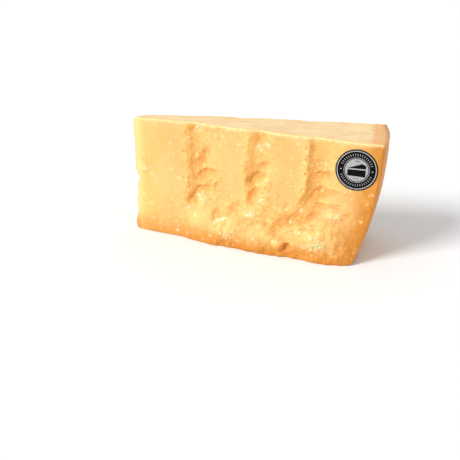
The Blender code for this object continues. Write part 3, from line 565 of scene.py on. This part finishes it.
def rim_points(front, back, out_x, out_z):
    """Places of the top, base, tip and rind, in a row across the wedge for each place round the edge, and how
    far in and how near to the edge each lies, from 0 to 1."""
    thickness = np.linalg.norm(back - front, axis=1)
    distance = across_steps(thickness)
    share = distance / thickness[:, None]
    points = front[:, None, :] * (1.0 - share[..., None]) + back[:, None, :] * share[..., None]
    near = np.minimum(distance, thickness[:, None] - distance)
    rounded = EDGE - fillet_inset(near, EDGE)
    x = points[..., 0] + out_x[:, None] * rounded
    y = points[..., 1]
    z = points[..., 2] + out_z[:, None] * rounded
    inner = ease(near / EDGE_CALM)
    on_rind, on_tip = (out_x > 0)[:, None], (out_x < 0)[:, None]
    on_top, on_base = (out_z > 0)[:, None], (out_z < 0)[:, None]
    flat = corner_x(front[:, 2], front[:, 1])[:, None] * (1.0 - share)
    flat = flat + corner_x(back[:, 2], back[:, 1])[:, None] * share
    bow = corner_x(z, y) + RIND_BOW * (1.0 - (2.0 * share - 1.0) ** 2) - flat
    rind_pits, _, pit_share, _ = cell_noise(x, y, z, RIND_PIT_SIZE)
    rind = bow + inner * RIND_WAVE_RISE * smooth_noise(x, y, z, RIND_WAVE_SIZE)
    sunk = RIND_PIT_DEPTH * (pit_share < RIND_PIT_SHARE) * ease(1.0 - rind_pits / RIND_PIT_RADIUS)
    rind -= inner * sunk
    rind += inner * RIND_BAND_RISE * np.sin(2.0 * math.pi * z / RIND_BAND_STEP)
    crumbs, _, _, _ = cell_noise(x, y, z, CRUMB_SIZE)
    tip = inner * (CRAG_RISE * smooth_noise(x, y, z, CRAG_SIZE) + CRUMB_RISE * (CELL_MEAN - crumbs))
    x = x + on_rind * rind - on_tip * tip
    wires = smooth_noise(x / WIRE_LENGTH, y / WIRE_STEP, 0.0, 1.0)
    top = inner * (TOP_WAVE_RISE * smooth_noise(x, y, z, RIND_WAVE_SIZE) + WIRE_RISE * wires)
    burr = np.clip(smooth_noise(x, y, z, BURR_SIZE) + BURR_SHARE, 0.0, 1.0) * ease(1.0 - near / BURR_REACH)
    z = z + on_top * (top - BURR_RISE * (1.0 - burr) * ease(near / EDGE)) + on_base * inner * sunk
    return np.stack([x, y, z], axis=-1), inner, ease(1.0 - near / BURR_REACH)


def blurred(grid, width, spacing):
    """A grid smoothed along both its directions with a bell curve."""
    for axis, step in enumerate(spacing):
        reach = max(1, int(3.0 * width / step))
        bell = np.exp(-0.5 * (np.arange(-reach, reach + 1) * step / width) ** 2)
        bell /= bell.sum()
        padded = np.pad(grid, [(reach, reach) if a == axis else (0, 0) for a in range(2)], mode="edge")
        grid = np.apply_along_axis(lambda line: np.convolve(line, bell, mode="valid"), axis, padded)
    return grid


def shade_of(grid, outward):
    """How deep a broken side lies under what is round each place, from -1 on a ridge to 1 in a hollow: the
    mask of the painted highlight on ridges and the painted shade in hollows.
    """
    height = grid[..., 1] * outward
    spacing = (RADIUS / ALONG_CELLS, HEIGHT / UP_CELLS)
    near = (blurred(height, SHADE_NEAR, spacing) - height) / SHADE_NEAR_DEPTH
    far = (blurred(height, SHADE_FAR, spacing) - height) / SHADE_FAR_DEPTH
    return np.clip(SHADE_NEAR_SHARE * near + SHADE_FAR_SHARE * far, -1.0, 1.0)


def wall_shade_tint(side, outward):
    """How steeply each place of a broken side falls away towards the rind and the foot, from 0 to 1: where
    painted shade goes on the walls that face away from the lamp.
    """
    spacing = (RADIUS / ALONG_CELLS, HEIGHT / UP_CELLS)
    along, up = np.gradient(blurred(side[..., 1] * outward, WALL_BLUR, spacing), *spacing)
    return np.clip((WALL_UP_SHARE * up - along) / WALL_STEEP, 0.0, 1.0)


def rind_tint(points):
    """1 at the rind's surface and 0 in the paste, by distance from the barrel and from the base."""
    x, y, z = points[..., 0], points[..., 1], points[..., 2]
    from_barrel = rind_radius(z) - np.hypot(x, y)
    wander = RIND_WANDER * smooth_noise(x, y, z, RIND_WANDER_SIZE)
    near_top = ease((z - HEIGHT + RIND_TOP_BAND) / RIND_TOP_BAND)
    depth = RIND_DEPTH_BARREL + (RIND_DEPTH_TOP - RIND_DEPTH_BARREL) * near_top
    barrel = 1.0 - (from_barrel + wander) / depth
    far = ease(x / BASE_FULL_FROM)
    depth = BASE_DEPTH_AT_TIP + (RIND_DEPTH_BASE - BASE_DEPTH_AT_TIP) * far
    base = (1.0 - (z + wander) / depth) * (BASE_AT_TIP + (1.0 - BASE_AT_TIP) * far)
    return np.clip(np.maximum(barrel, base), 0.0, 1.0)


def bloom_and_glint_tint(side):
    """Pale spots round the clusters of crystals, from 0 to 1, partly crystals and partly painted glints."""
    bloom_and_glint = np.zeros_like(side[..., 0])
    for along, up, half_x, half_z, tilt, _ in CRYSTAL_CLUSTERS:
        spot = oval(side[..., 0], side[..., 2], along, up, half_x * BLOOM_AND_GLINT_REACH, half_z * BLOOM_AND_GLINT_REACH, tilt)
        bloom_and_glint = np.maximum(bloom_and_glint, spot)
    return bloom_and_glint


def depth_shade_tint(side, furrow_table, stroke_table, hollow_table, shade_patch_table, shift):
    """How deep each place of a broken side lies in its furrows and strokes, or how far it lies in a patch of
    painted
    shade, from 0 to 1: the mask of the paste's painted shade.
    """
    x, z = side[..., 0], side[..., 2]
    furrow, broken = recess(x, z, furrow_table, stroke_table, hollow_table, shift)
    return np.clip(furrow / FURROW_FULL + broken / STROKE_FULL + ovals(x, z, shade_patch_table), 0.0, 1.0)


def build_wedge():
    """The wedge's mesh and its tints, one number each at every vertex."""
    front, back = side_grid(front_y, 0.0), side_grid(back_y, TIP_SLANT)
    i, j, out_x, out_z = rim_places()
    rim, inner, edge_highlight_share = rim_points(front[i, j], back[i, j], out_x, out_z)
    columns, rows = ALONG_CELLS + 1, UP_CELLS + 1
    count = columns * rows
    front_index = np.arange(count).reshape(columns, rows)
    back_index = front_index + count
    rim_count = rim.shape[0] * rim.shape[1]
    rim_index = 2 * count + np.arange(rim_count).reshape(rim.shape[:2])
    points = np.concatenate([front.reshape(-1, 3), back.reshape(-1, 3), rim.reshape(-1, 3)])

    # Painted highlight on ridges and painted shade in hollows, carried onto the rounded edges
    front_shade, back_shade = shade_of(front, -1.0), shade_of(back, 1.0)
    edge_shade = front_shade[i, j][:, None] * (1.0 - inner)
    shade = np.concatenate([front_shade.ravel(), back_shade.ravel(), edge_shade.ravel()])
    cut = np.concatenate([np.zeros(2 * count), ((out_z > 0)[:, None] * inner).ravel()])
    front_rough = craggy(front[..., 0], front[..., 2], FRONT_PANELS, FRONT_CALM)
    back_rough = craggy(back[..., 0], back[..., 2], BACK_PANELS, BACK_CALM)
    rim_rough = np.broadcast_to((out_x < 0).astype(float)[:, None], inner.shape)
    rough = np.concatenate([front_rough.ravel(), back_rough.ravel(), rim_rough.ravel()])
    # Painted shade in furrows, strokes and shade patches, less of it on the far side
    front_tables = FRONT_FURROWS, FRONT_STROKES + FRONT_CREASES, FRONT_HOLLOWS + FRONT_CRACKS
    front_deep_shade = depth_shade_tint(front, *front_tables, FRONT_SHADE_PATCHES, NO_SHIFT)
    back_tables = BACK_FURROWS, BACK_STROKES + BACK_CREASES, BACK_HOLLOWS
    back_deep_shade = BACK_DEEP_SHADE_SHARE * depth_shade_tint(back, *back_tables, BACK_SHADE_PATCHES, BACK_SHIFT)
    deep = np.concatenate([front_deep_shade.ravel(), back_deep_shade.ravel(), np.zeros(rim_count)])
    # Painted shade on walls that face away from the lamp
    walls = [wall_shade_tint(front, -1.0).ravel(), wall_shade_tint(back, 1.0).ravel(), np.zeros(rim_count)]
    # Painted highlight along the top edges
    side_edge_highlight = [ease(1.0 - (HEIGHT - side[..., 2]) / BURR_REACH).ravel() for side in (front, back)]
    edge = np.concatenate([*side_edge_highlight, (edge_highlight_share * (out_z > 0)[:, None]).ravel()])
    # Painted highlight where the tip turns, and painted light near the tip
    tip = TIP_HIGHLIGHT * ease(1.0 - points[:, 0] / TIP_TURN_REACH) * ease(points[:, 2] / BASE_DEPTH_AT_TIP)
    painted_tip_light = TIP_LIGHT * np.clip(1.0 - points[:, 0] / TIP_LIGHT_REACH, 0.0, 1.0)
    # Pale spots round the crystal clusters, partly crystals and partly painted glints
    bloom_and_glint = np.concatenate([bloom_and_glint_tint(front).ravel(), np.zeros(count + rim_count)])
    values = shade, rind_tint(points), cut, rough, deep, edge, tip, np.concatenate(walls), bloom_and_glint, painted_tip_light
    tints = dict(zip(TINTS, values))

    def quads(a, b, c, d):
        return np.stack([a.ravel(), b.ravel(), c.ravel(), d.ravel()], axis=1)

    ring = np.concatenate([front_index[i, j][:, None], rim_index, back_index[i, j][:, None]], axis=1)
    after = np.roll(ring, -1, axis=0)
    faces = np.concatenate([
        quads(front_index[:-1, :-1], front_index[1:, :-1], front_index[1:, 1:], front_index[:-1, 1:]),
        quads(back_index[:-1, :-1], back_index[:-1, 1:], back_index[1:, 1:], back_index[1:, :-1]),
        quads(after[:, :-1], ring[:, :-1], ring[:, 1:], after[:, 1:]),
    ])
    return points - np.array((MIDDLE, 0.0, 0.0)), faces, tints


def add_object(name, data, material):
    data.materials.append(material)
    made = bpy.data.objects.new(name, data)
    bpy.context.scene.collection.objects.link(made)
    return made


def add_mesh(name, mesh, material):
    data = bpy.data.meshes.new(name)
    mesh.to_mesh(data)
    mesh.free()
    return add_object(name, data, material)


def make_wedge(material):
    """The dressed wedge, which replaces the plain solid and stays inside its box."""
    points, faces, tints = build_wedge()
    low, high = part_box("cheese")
    points = np.clip(points, np.array(low), np.array(high))
    data = bpy.data.meshes.new("wedge")
    data.from_pydata(points.tolist(), [], faces.tolist())
    for name, values in tints.items():
        attribute = data.attributes.new(name, "FLOAT", "POINT")
        attribute.data.foreach_set("value", values.astype(np.float32))
    data.shade_smooth()
    wedge = add_object("wedge", data, material)
    fewer = wedge.modifiers.new("fewer faces", "DECIMATE")
    fewer.ratio = CHEESE_TRIANGLES / (2 * len(faces))
    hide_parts("cheese")
    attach(wedge, "root")


class Graph:
    """A short way to write a material's nodes."""

    def __init__(self, name):
        self.material = bpy.data.materials.new(name)
        self.material.use_nodes = True
        self.tree = self.material.node_tree
        self.shader = self.tree.nodes["Principled BSDF"]

    def node(self, kind, inputs=(), **settings):
        made = self.tree.nodes.new("ShaderNode" + kind)
        for key, value in settings.items():
            setattr(made, key, value)
        for key, value in dict(inputs).items():
            self.plug(made.inputs[key], value)
        return made

    def plug(self, socket, value):
        if isinstance(value, bpy.types.NodeSocket):
            self.tree.links.new(value, socket)
        else:
            socket.default_value = value

    def set(self, **inputs):
        for key, value in inputs.items():
            self.plug(self.shader.inputs[key.replace("_", " ")], value)

    def place(self, scale=(1.0, 1.0, 1.0)):
        """Object coordinates, stretched."""
        texture = self.node("TexCoord")
        return self.node("Mapping", {"Vector": texture.outputs["Object"], "Scale": scale}).outputs["Vector"]

    def noise(self, scale, detail=2.0, roughness=0.5, place=None):
        inputs = {"Scale": scale, "Detail": detail, "Roughness": roughness, "Vector": place or self.place()}
        return self.node("TexNoise", inputs).outputs["Fac"]

    def cells(self, scale, place=None):
        return self.node("TexVoronoi", {"Scale": scale, "Vector": place or self.place()})

    def tint(self, name):
        return self.node("Attribute", attribute_name=name).outputs["Fac"]

    def ramp(self, value, start, end, low=0.0, high=1.0):
        """Goes smoothly from low to high as value goes from start to end."""
        inputs = {"Value": value, "From Min": start, "From Max": end, "To Min": low, "To Max": high}
        return self.node("MapRange", inputs, interpolation_type="SMOOTHSTEP").outputs["Result"]

    def math(self, operation, a, b=0.0, c=0.0):
        return self.node("Math", {0: a, 1: b, 2: c}, operation=operation).outputs["Value"]

    def mix(self, share, a, b):
        made = self.node("Mix", data_type="RGBA")
        self.plug(made.inputs["Factor"], share)
        self.plug(made.inputs[6], a)
        self.plug(made.inputs[7], b)
        return made.outputs[2]

    def bump(self, height, distance, strength=1.0, normal=None):
        inputs = {"Height": height, "Distance": distance, "Strength": strength}
        if normal:
            inputs["Normal"] = normal
        return self.node("Bump", inputs).outputs["Normal"]


def cheese_material():
    """Golden paste with painted shade and painted highlights, a darker rind, a paler cut top and white
    crystals.
    """
    g = Graph("cheese")
    shade, rind, cut, rough, deep, edge, tip, wall, bloom_and_glint, painted_tip_light = (g.tint(name) for name in TINTS)
    # Paste, from its patches to its painted light near the tip, painted highlights on ridges and painted
    # shade in hollows, furrows and on walls
    paste = g.mix(g.ramp(g.noise(45.0, 3.0), 0.35, 0.65), PASTE_DULL, PASTE_BRIGHT)
    paste = g.mix(g.math("MULTIPLY", rough, 0.5), paste, PASTE_BROKEN)
    # Painted light near the tip
    paste = g.mix(painted_tip_light, paste, PASTE_TIP_LIGHT)
    # Painted highlight on ridges and painted shade in hollows
    paste = g.mix(g.ramp(shade, 0.0, -0.9, 0.0, 0.6), paste, PASTE_PALE_FLECK_AND_RIDGE_HIGHLIGHT)
    paste = g.mix(g.ramp(shade, 0.05, 0.9, 0.0, 0.6), paste, PASTE_DARK_FLECK_AND_HOLLOW_SHADE)
    # Painted shade in furrows, strokes and shade patches
    sunken = g.math("MULTIPLY_ADD", g.noise(260.0), 0.3, deep)
    paste = g.mix(g.ramp(sunken, 0.15, 1.1, 0.0, 0.9), paste, PASTE_DEEP_SHADE)
    # Painted shade on walls that face away from the lamp
    paste = g.mix(g.ramp(wall, 0.05, 0.8, 0.0, 0.85), paste, PASTE_WALL_SHADE)
    # Flecks of the broken paste
    flecks = g.noise(330.0, 3.0, 0.6)
    paste = g.mix(g.math("MULTIPLY", rough, g.ramp(flecks, 0.5, 0.75, 0.0, 0.7)), paste, PASTE_PALE_FLECK_AND_RIDGE_HIGHLIGHT)
    paste = g.mix(g.math("MULTIPLY", rough, g.ramp(flecks, 0.5, 0.3, 0.0, 0.6)), paste, PASTE_DARK_FLECK_AND_HOLLOW_SHADE)
    # Rind, with a ragged border and faint mottling
    ragged = g.math("MULTIPLY", g.math("SUBTRACT", g.noise(160.0), 0.5), 0.35)
    rind_share = g.math("ADD", rind, ragged)
    skin = g.mix(g.ramp(g.noise(55.0, 4.0, 0.6), 0.50, 0.66, 0.0, 0.8), RIND_SKIN, RIND_PALE)
    skin = g.mix(g.ramp(g.noise(90.0, 4.0, 0.6), 0.54, 0.70, 0.0, 0.7), skin, RIND_DARK)
    paste = g.mix(g.ramp(rind_share, 0.02, 0.85, 0.0, 0.95), paste, skin)
    # Cut top, streaked by the wire
    streaks = g.noise(1.0, 3.0, 0.6, g.place((38.0, 330.0, 40.0)))
    blotches = g.noise(70.0, 3.0)
    top = g.mix(g.ramp(g.math("MULTIPLY_ADD", blotches, 0.8, streaks), 0.75, 1.05), TOP_DULL, TOP_BRIGHT)
    top = g.mix(g.ramp(rind_share, 0.0, 0.22, 0.0, 0.9), top, TOP_RIND)
    paste = g.mix(cut, paste, top)
    # Painted highlight along the broken top edges and where the tip turns
    broken_edge_highlight = g.math("MULTIPLY", edge, g.ramp(g.noise(420.0), 0.35, 0.6, 0.45, 1.0))
    paste = g.mix(g.math("MAXIMUM", broken_edge_highlight, tip), paste, PASTE_EDGE_HIGHLIGHT)
    # White spots, bent out of round, and pale spots round the clusters, partly crystals and partly painted
    # glints
    uneven = g.node("TexNoise", {"Scale": 500.0, "Vector": g.place()}).outputs["Color"]
    bent = g.node("Mix", data_type="VECTOR")
    g.plug(bent.inputs["Factor"], SPOT_BEND)
    g.plug(bent.inputs[4], g.place())
    g.plug(bent.inputs[5], uneven)
    for scale, share, outer, middle, strength in CRYSTAL_SPOTS:
        spots = g.cells(scale, bent.outputs[1])
        red = g.node("SeparateColor", {"Color": spots.outputs["Color"]}).outputs["Red"]
        chosen = g.ramp(red, 1.0 - share - 0.01, 1.0 - share)
        spot = g.math("MULTIPLY", g.ramp(spots.outputs["Distance"], outer, middle), chosen)
        spot = g.math("MULTIPLY", spot, g.ramp(rind, 0.7, 0.97, strength, 0.0))
        paste = g.mix(spot, paste, CRYSTAL_WHITE)
    speckle = g.math("MULTIPLY", bloom_and_glint, g.ramp(g.noise(520.0, 3.0, 0.65), 0.42, 0.64, 0.05, 0.75))
    paste = g.mix(speckle, paste, CRYSTAL_WHITE)
    # Surface
    g.set(Base_Color=paste, Roughness=g.ramp(g.noise(300.0), 0.3, 0.7, 0.36, 0.58))
    g.set(Subsurface_Weight=0.5, Subsurface_Scale=0.004, Subsurface_Radius=(0.9, 0.62, 0.34), IOR=1.42)
    share = g.math("MULTIPLY_ADD", rough, 0.8, 0.2)
    grain = g.math("MULTIPLY", g.noise(900.0, 4.0, 0.6), share)
    chips = g.math("MULTIPLY", g.cells(620.0, bent.outputs[1]).outputs["Distance"], share)
    g.set(Normal=g.bump(chips, 0.0008, 0.6, g.bump(grain, 0.0005, 0.6)))
    return g.material


def crystal_material():
    """White amino crystals, glassier than the paste round them."""
    g = Graph("crystal")
    g.set(Base_Color=g.mix(g.noise(900.0), CRYSTAL_DULL, CRYSTAL_BRIGHT))
    g.set(Roughness=0.4, Subsurface_Weight=0.5, Subsurface_Scale=0.0005)
    return g.material


def scatter_crystals(draw):
    """Places, sizes and sides of the crystals: front clusters first, then loose ones on both sides."""
    places = []
    for along, up, half_x, half_z, tilt, count in CRYSTAL_CLUSTERS:
        turn = math.radians(tilt)
        for _ in range(count):
            a, b = draw.gauss(0.0, CLUSTER_SPREAD) * half_x, draw.gauss(0.0, CLUSTER_SPREAD) * half_z
            x = along + a * math.cos(turn) - b * math.sin(turn)
            z = up + a * math.sin(turn) + b * math.cos(turn)
            places.append((x * MM, z * MM, draw.uniform(CRYSTAL_SMALL, CLUSTER_LARGE), -1.0))
    for k in range(LOOSE_CRYSTALS):
        x, z = draw.uniform(*LOOSE_ALONG), draw.uniform(*LOOSE_UP)
        side = -1.0 if k % 2 else 1.0
        if side > 0 or math.hypot(x - LABEL_ALONG, z - LABEL_UP) > LABEL_RADIUS * LOOSE_OFF_LABEL:
            places.append((x, z, draw.uniform(CRYSTAL_SMALL, CRYSTAL_LARGE), side))
    return places


def make_crystals(material):
    """Small rough grains set into both broken sides, as one piece."""
    draw = random.Random(SEED)
    places = scatter_crystals(draw)
    x, z = np.array([p[0] for p in places]), np.array([p[1] for p in places])
    side = np.array([p[3] for p in places])
    y = np.where(side < 0, front_y(x, z), back_y(x, z))
    mesh = bmesh.new()
    for k, (_, _, size, outward) in enumerate(places):
        sunk = Vector((x[k] - MIDDLE, y[k] - outward * size * CRYSTAL_SUNK, z[k]))
        spin = Matrix.Rotation(draw.uniform(0.0, math.tau), 4, Vector([draw.gauss(0, 1) for _ in range(3)]))
        stretch = Matrix.Diagonal((draw.uniform(*CRYSTAL_LENGTH), 1.0, draw.uniform(*CRYSTAL_WIDTH), 1.0))
        place = Matrix.Translation(sunk) @ spin @ stretch
        bmesh.ops.create_icosphere(mesh, subdivisions=1, radius=size, matrix=place)
    low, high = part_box("cheese")
    for vert in mesh.verts:
        vert.co = [min(top, max(bottom, value)) for value, bottom, top in zip(vert.co, low, high)]
    crystals = add_mesh("crystals", mesh, material)
    crystals.data.shade_smooth()
    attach(crystals, "root")


def label_frame():
    """The label's own axes in the model: across, up and out of its face, from the middle of its flat spot."""
    along = Vector((1.0, -math.tan(math.radians(SEAT_TURN)), 0.0))
    up = Vector((0.0, math.tan(math.radians(SEAT_LEAN)), 1.0))
    out = along.cross(up).normalized()
    across = along.normalized()
    turned_up = out.cross(across).normalized()
    middle = Vector((LABEL_ALONG - MIDDLE, SEAT_ACROSS, LABEL_UP))
    return Matrix.Translation(middle) @ Matrix((across, turned_up, out)).transposed().to_4x4()


def circle(radius, sides):
    """Points round a circle, anticlockwise."""
    turns = [math.tau * k / sides for k in range(sides)]
    return [(radius * math.cos(turn), radius * math.sin(turn)) for turn in turns]


def ring_band(mesh, near, near_height, far, far_height, slot):
    """Faces between two circles of the label, given by radius and height."""
    near = [mesh.verts.new((x, y, near_height)) for x, y in circle(near, LABEL_SIDES)]
    far = [mesh.verts.new((x, y, far_height)) for x, y in circle(far, LABEL_SIDES)]
    for k in range(LABEL_SIDES):
        after = (k + 1) % LABEL_SIDES
        mesh.faces.new((near[k], far[k], far[after], near[after])).material_index = slot


def flat_shape(mesh, outline, height, slot):
    """A flat printed shape with a given outline."""
    face = mesh.faces.new([mesh.verts.new((x, y, height)) for x, y in outline])
    face.material_index = slot


def stud(mesh, across, up, radius, height, slot):
    """A small printed dot, with its place and size as shares of the label's radius."""
    outline = [((across + a) * LABEL_RADIUS, (up + b) * LABEL_RADIUS) for a, b in circle(radius, STUD_SIDES)]
    flat_shape(mesh, outline, height, slot)


def label_marks(mesh, slots):
    """Plain beads round the black ring, a stud in each gap, and small dots above and below the middle."""
    height = LABEL_HIGH + RING_RISE * 2.0
    for k in range(BEADS):
        angle = 360.0 * (k + 0.5) / BEADS
        if any(abs((angle - gap + 180.0) % 360.0 - 180.0) < BEAD_GAP_HALF for gap in BEAD_GAPS):
            continue
        turn = Matrix.Rotation(math.radians(angle), 2)
        start, end = BEAD_RING - BEAD_LENGTH / 2.0, BEAD_RING + BEAD_LENGTH / 2.0
        corners = [(start, -BEAD_WIDTH), (end, -BEAD_WIDTH), (end, BEAD_WIDTH), (start, BEAD_WIDTH)]
        outline = [turn @ Vector((a * LABEL_RADIUS, b * LABEL_RADIUS)) for a, b in corners]
        flat_shape(mesh, outline, height, slots["silver"])
    for side in (-1.0, 1.0):
        stud(mesh, side * BEAD_RING, 0.0, STUD_RADIUS, height, slots["silver"])
    for up in DOTS_UP:
        for k in (-1, 0, 1):
            stud(mesh, k * DOTS_STEP, up, DOT_RADIUS, height + RING_RISE, slots["black"])


def make_label(black, silver):
    """The round sticker: black and silver rings with plain marks, a hair proud of the paste."""
    mesh = bmesh.new()
    slots = {"black": 0, "silver": 1}
    inner = 0.0
    for share, finish in LABEL_RINGS:
        outer, height = share * LABEL_RADIUS, LABEL_HIGH + (RING_RISE if finish == "silver" else 0.0)
        if inner:
            ring_band(mesh, inner, height, outer, height, slots[finish])
        else:
            flat_shape(mesh, circle(outer, LABEL_SIDES), height, slots[finish])
        inner = outer
    ring_band(mesh, LABEL_RADIUS, LABEL_HIGH, LABEL_RADIUS, LABEL_LOW, slots["black"])
    flat_shape(mesh, list(reversed(circle(LABEL_RADIUS, LABEL_SIDES))), LABEL_LOW, slots["black"])
    label_marks(mesh, slots)
    for outline in (ICON_TOP, ICON_FRONT):
        points = [(a * LABEL_RADIUS, b * LABEL_RADIUS) for a, b in outline]
        flat_shape(mesh, points, LABEL_HIGH + RING_RISE * 3.0, slots["black"])
    bmesh.ops.transform(mesh, matrix=label_frame(), verts=mesh.verts)
    sticker = add_mesh("sticker", mesh, black)
    sticker.data.materials.append(silver)
    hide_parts("label")
    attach(sticker, "root")


def black_material():
    g = Graph("label_black")
    g.set(Base_Color=g.mix(g.noise(220.0), *LABEL_BLACKS))
    g.set(Roughness=g.ramp(g.noise(500.0), 0.3, 0.7, 0.35, 0.5), Specular_IOR_Level=0.06)
    return g.material


def silver_material():
    g = Graph("label_silver")
    brushed = g.noise(1.0, 2.0, place=g.place((900.0, 900.0, 120.0)))
    g.set(Base_Color=g.mix(brushed, *LABEL_SILVERS))
    g.set(Metallic=0.75, Roughness=g.ramp(brushed, 0.3, 0.7, 0.30, 0.45))
    return g.material


def make_stage():
    """A plain pale floor that meets the light all round."""
    mesh = bmesh.new()
    bmesh.ops.create_circle(mesh, cap_ends=True, segments=FLOOR_SIDES, radius=FLOOR_RADIUS)
    for vert in mesh.verts:
        vert.co.z = -FLOOR_UNDER
    g = Graph("floor")
    g.set(Base_Color=g.mix(g.noise(3.0), *FLOOR_WHITES), Roughness=0.9)
    add_mesh("floor", mesh, g.material)


def make_lights():
    """White light all round, and a large soft lamp high on the left of the camera."""
    world = bpy.data.worlds.new("world")
    world.use_nodes = True
    world.node_tree.nodes["Background"].inputs["Color"].default_value = (1.0, 1.0, 1.0, 1.0)
    world.node_tree.nodes["Background"].inputs["Strength"].default_value = WORLD_STRENGTH
    bpy.context.scene.world = world
    light = bpy.data.lights.new("key", "SUN")
    light.energy = KEY_STRENGTH
    light.angle = math.radians(KEY_SOFTNESS)
    key = bpy.data.objects.new("key", light)
    key.rotation_euler = (-Vector(KEY_FROM)).to_track_quat("-Z", "Y").to_euler()
    bpy.context.scene.collection.objects.link(key)


def make_camera():
    data = bpy.data.cameras.new("camera")
    data.sensor_width = CAMERA_SENSOR
    data.lens = CAMERA_LENS
    data.clip_start = 0.01
    camera = bpy.data.objects.new("camera", data)
    bpy.context.scene.collection.objects.link(camera)
    heading = Matrix.Rotation(math.radians(CAMERA_HEADING), 4, "Z")
    pitch = Matrix.Rotation(math.radians(90.0 - CAMERA_PITCH), 4, "X")
    roll = Matrix.Rotation(math.radians(CAMERA_ROLL), 4, "Z")
    camera.matrix_world = Matrix.Translation(CAMERA_PLACE) @ heading @ pitch @ roll
    bpy.context.scene.camera = camera


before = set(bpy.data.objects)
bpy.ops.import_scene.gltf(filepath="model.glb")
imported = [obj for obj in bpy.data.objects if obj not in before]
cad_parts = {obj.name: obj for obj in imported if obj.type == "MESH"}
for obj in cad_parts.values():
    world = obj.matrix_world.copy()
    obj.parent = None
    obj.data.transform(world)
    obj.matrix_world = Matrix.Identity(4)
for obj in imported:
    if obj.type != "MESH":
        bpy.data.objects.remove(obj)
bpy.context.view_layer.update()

make_camera()
make_lights()
make_stage()
make_wedge(cheese_material())
make_crystals(crystal_material())
make_label(black_material(), silver_material())
bpy.context.scene.view_settings.view_transform = "Standard"
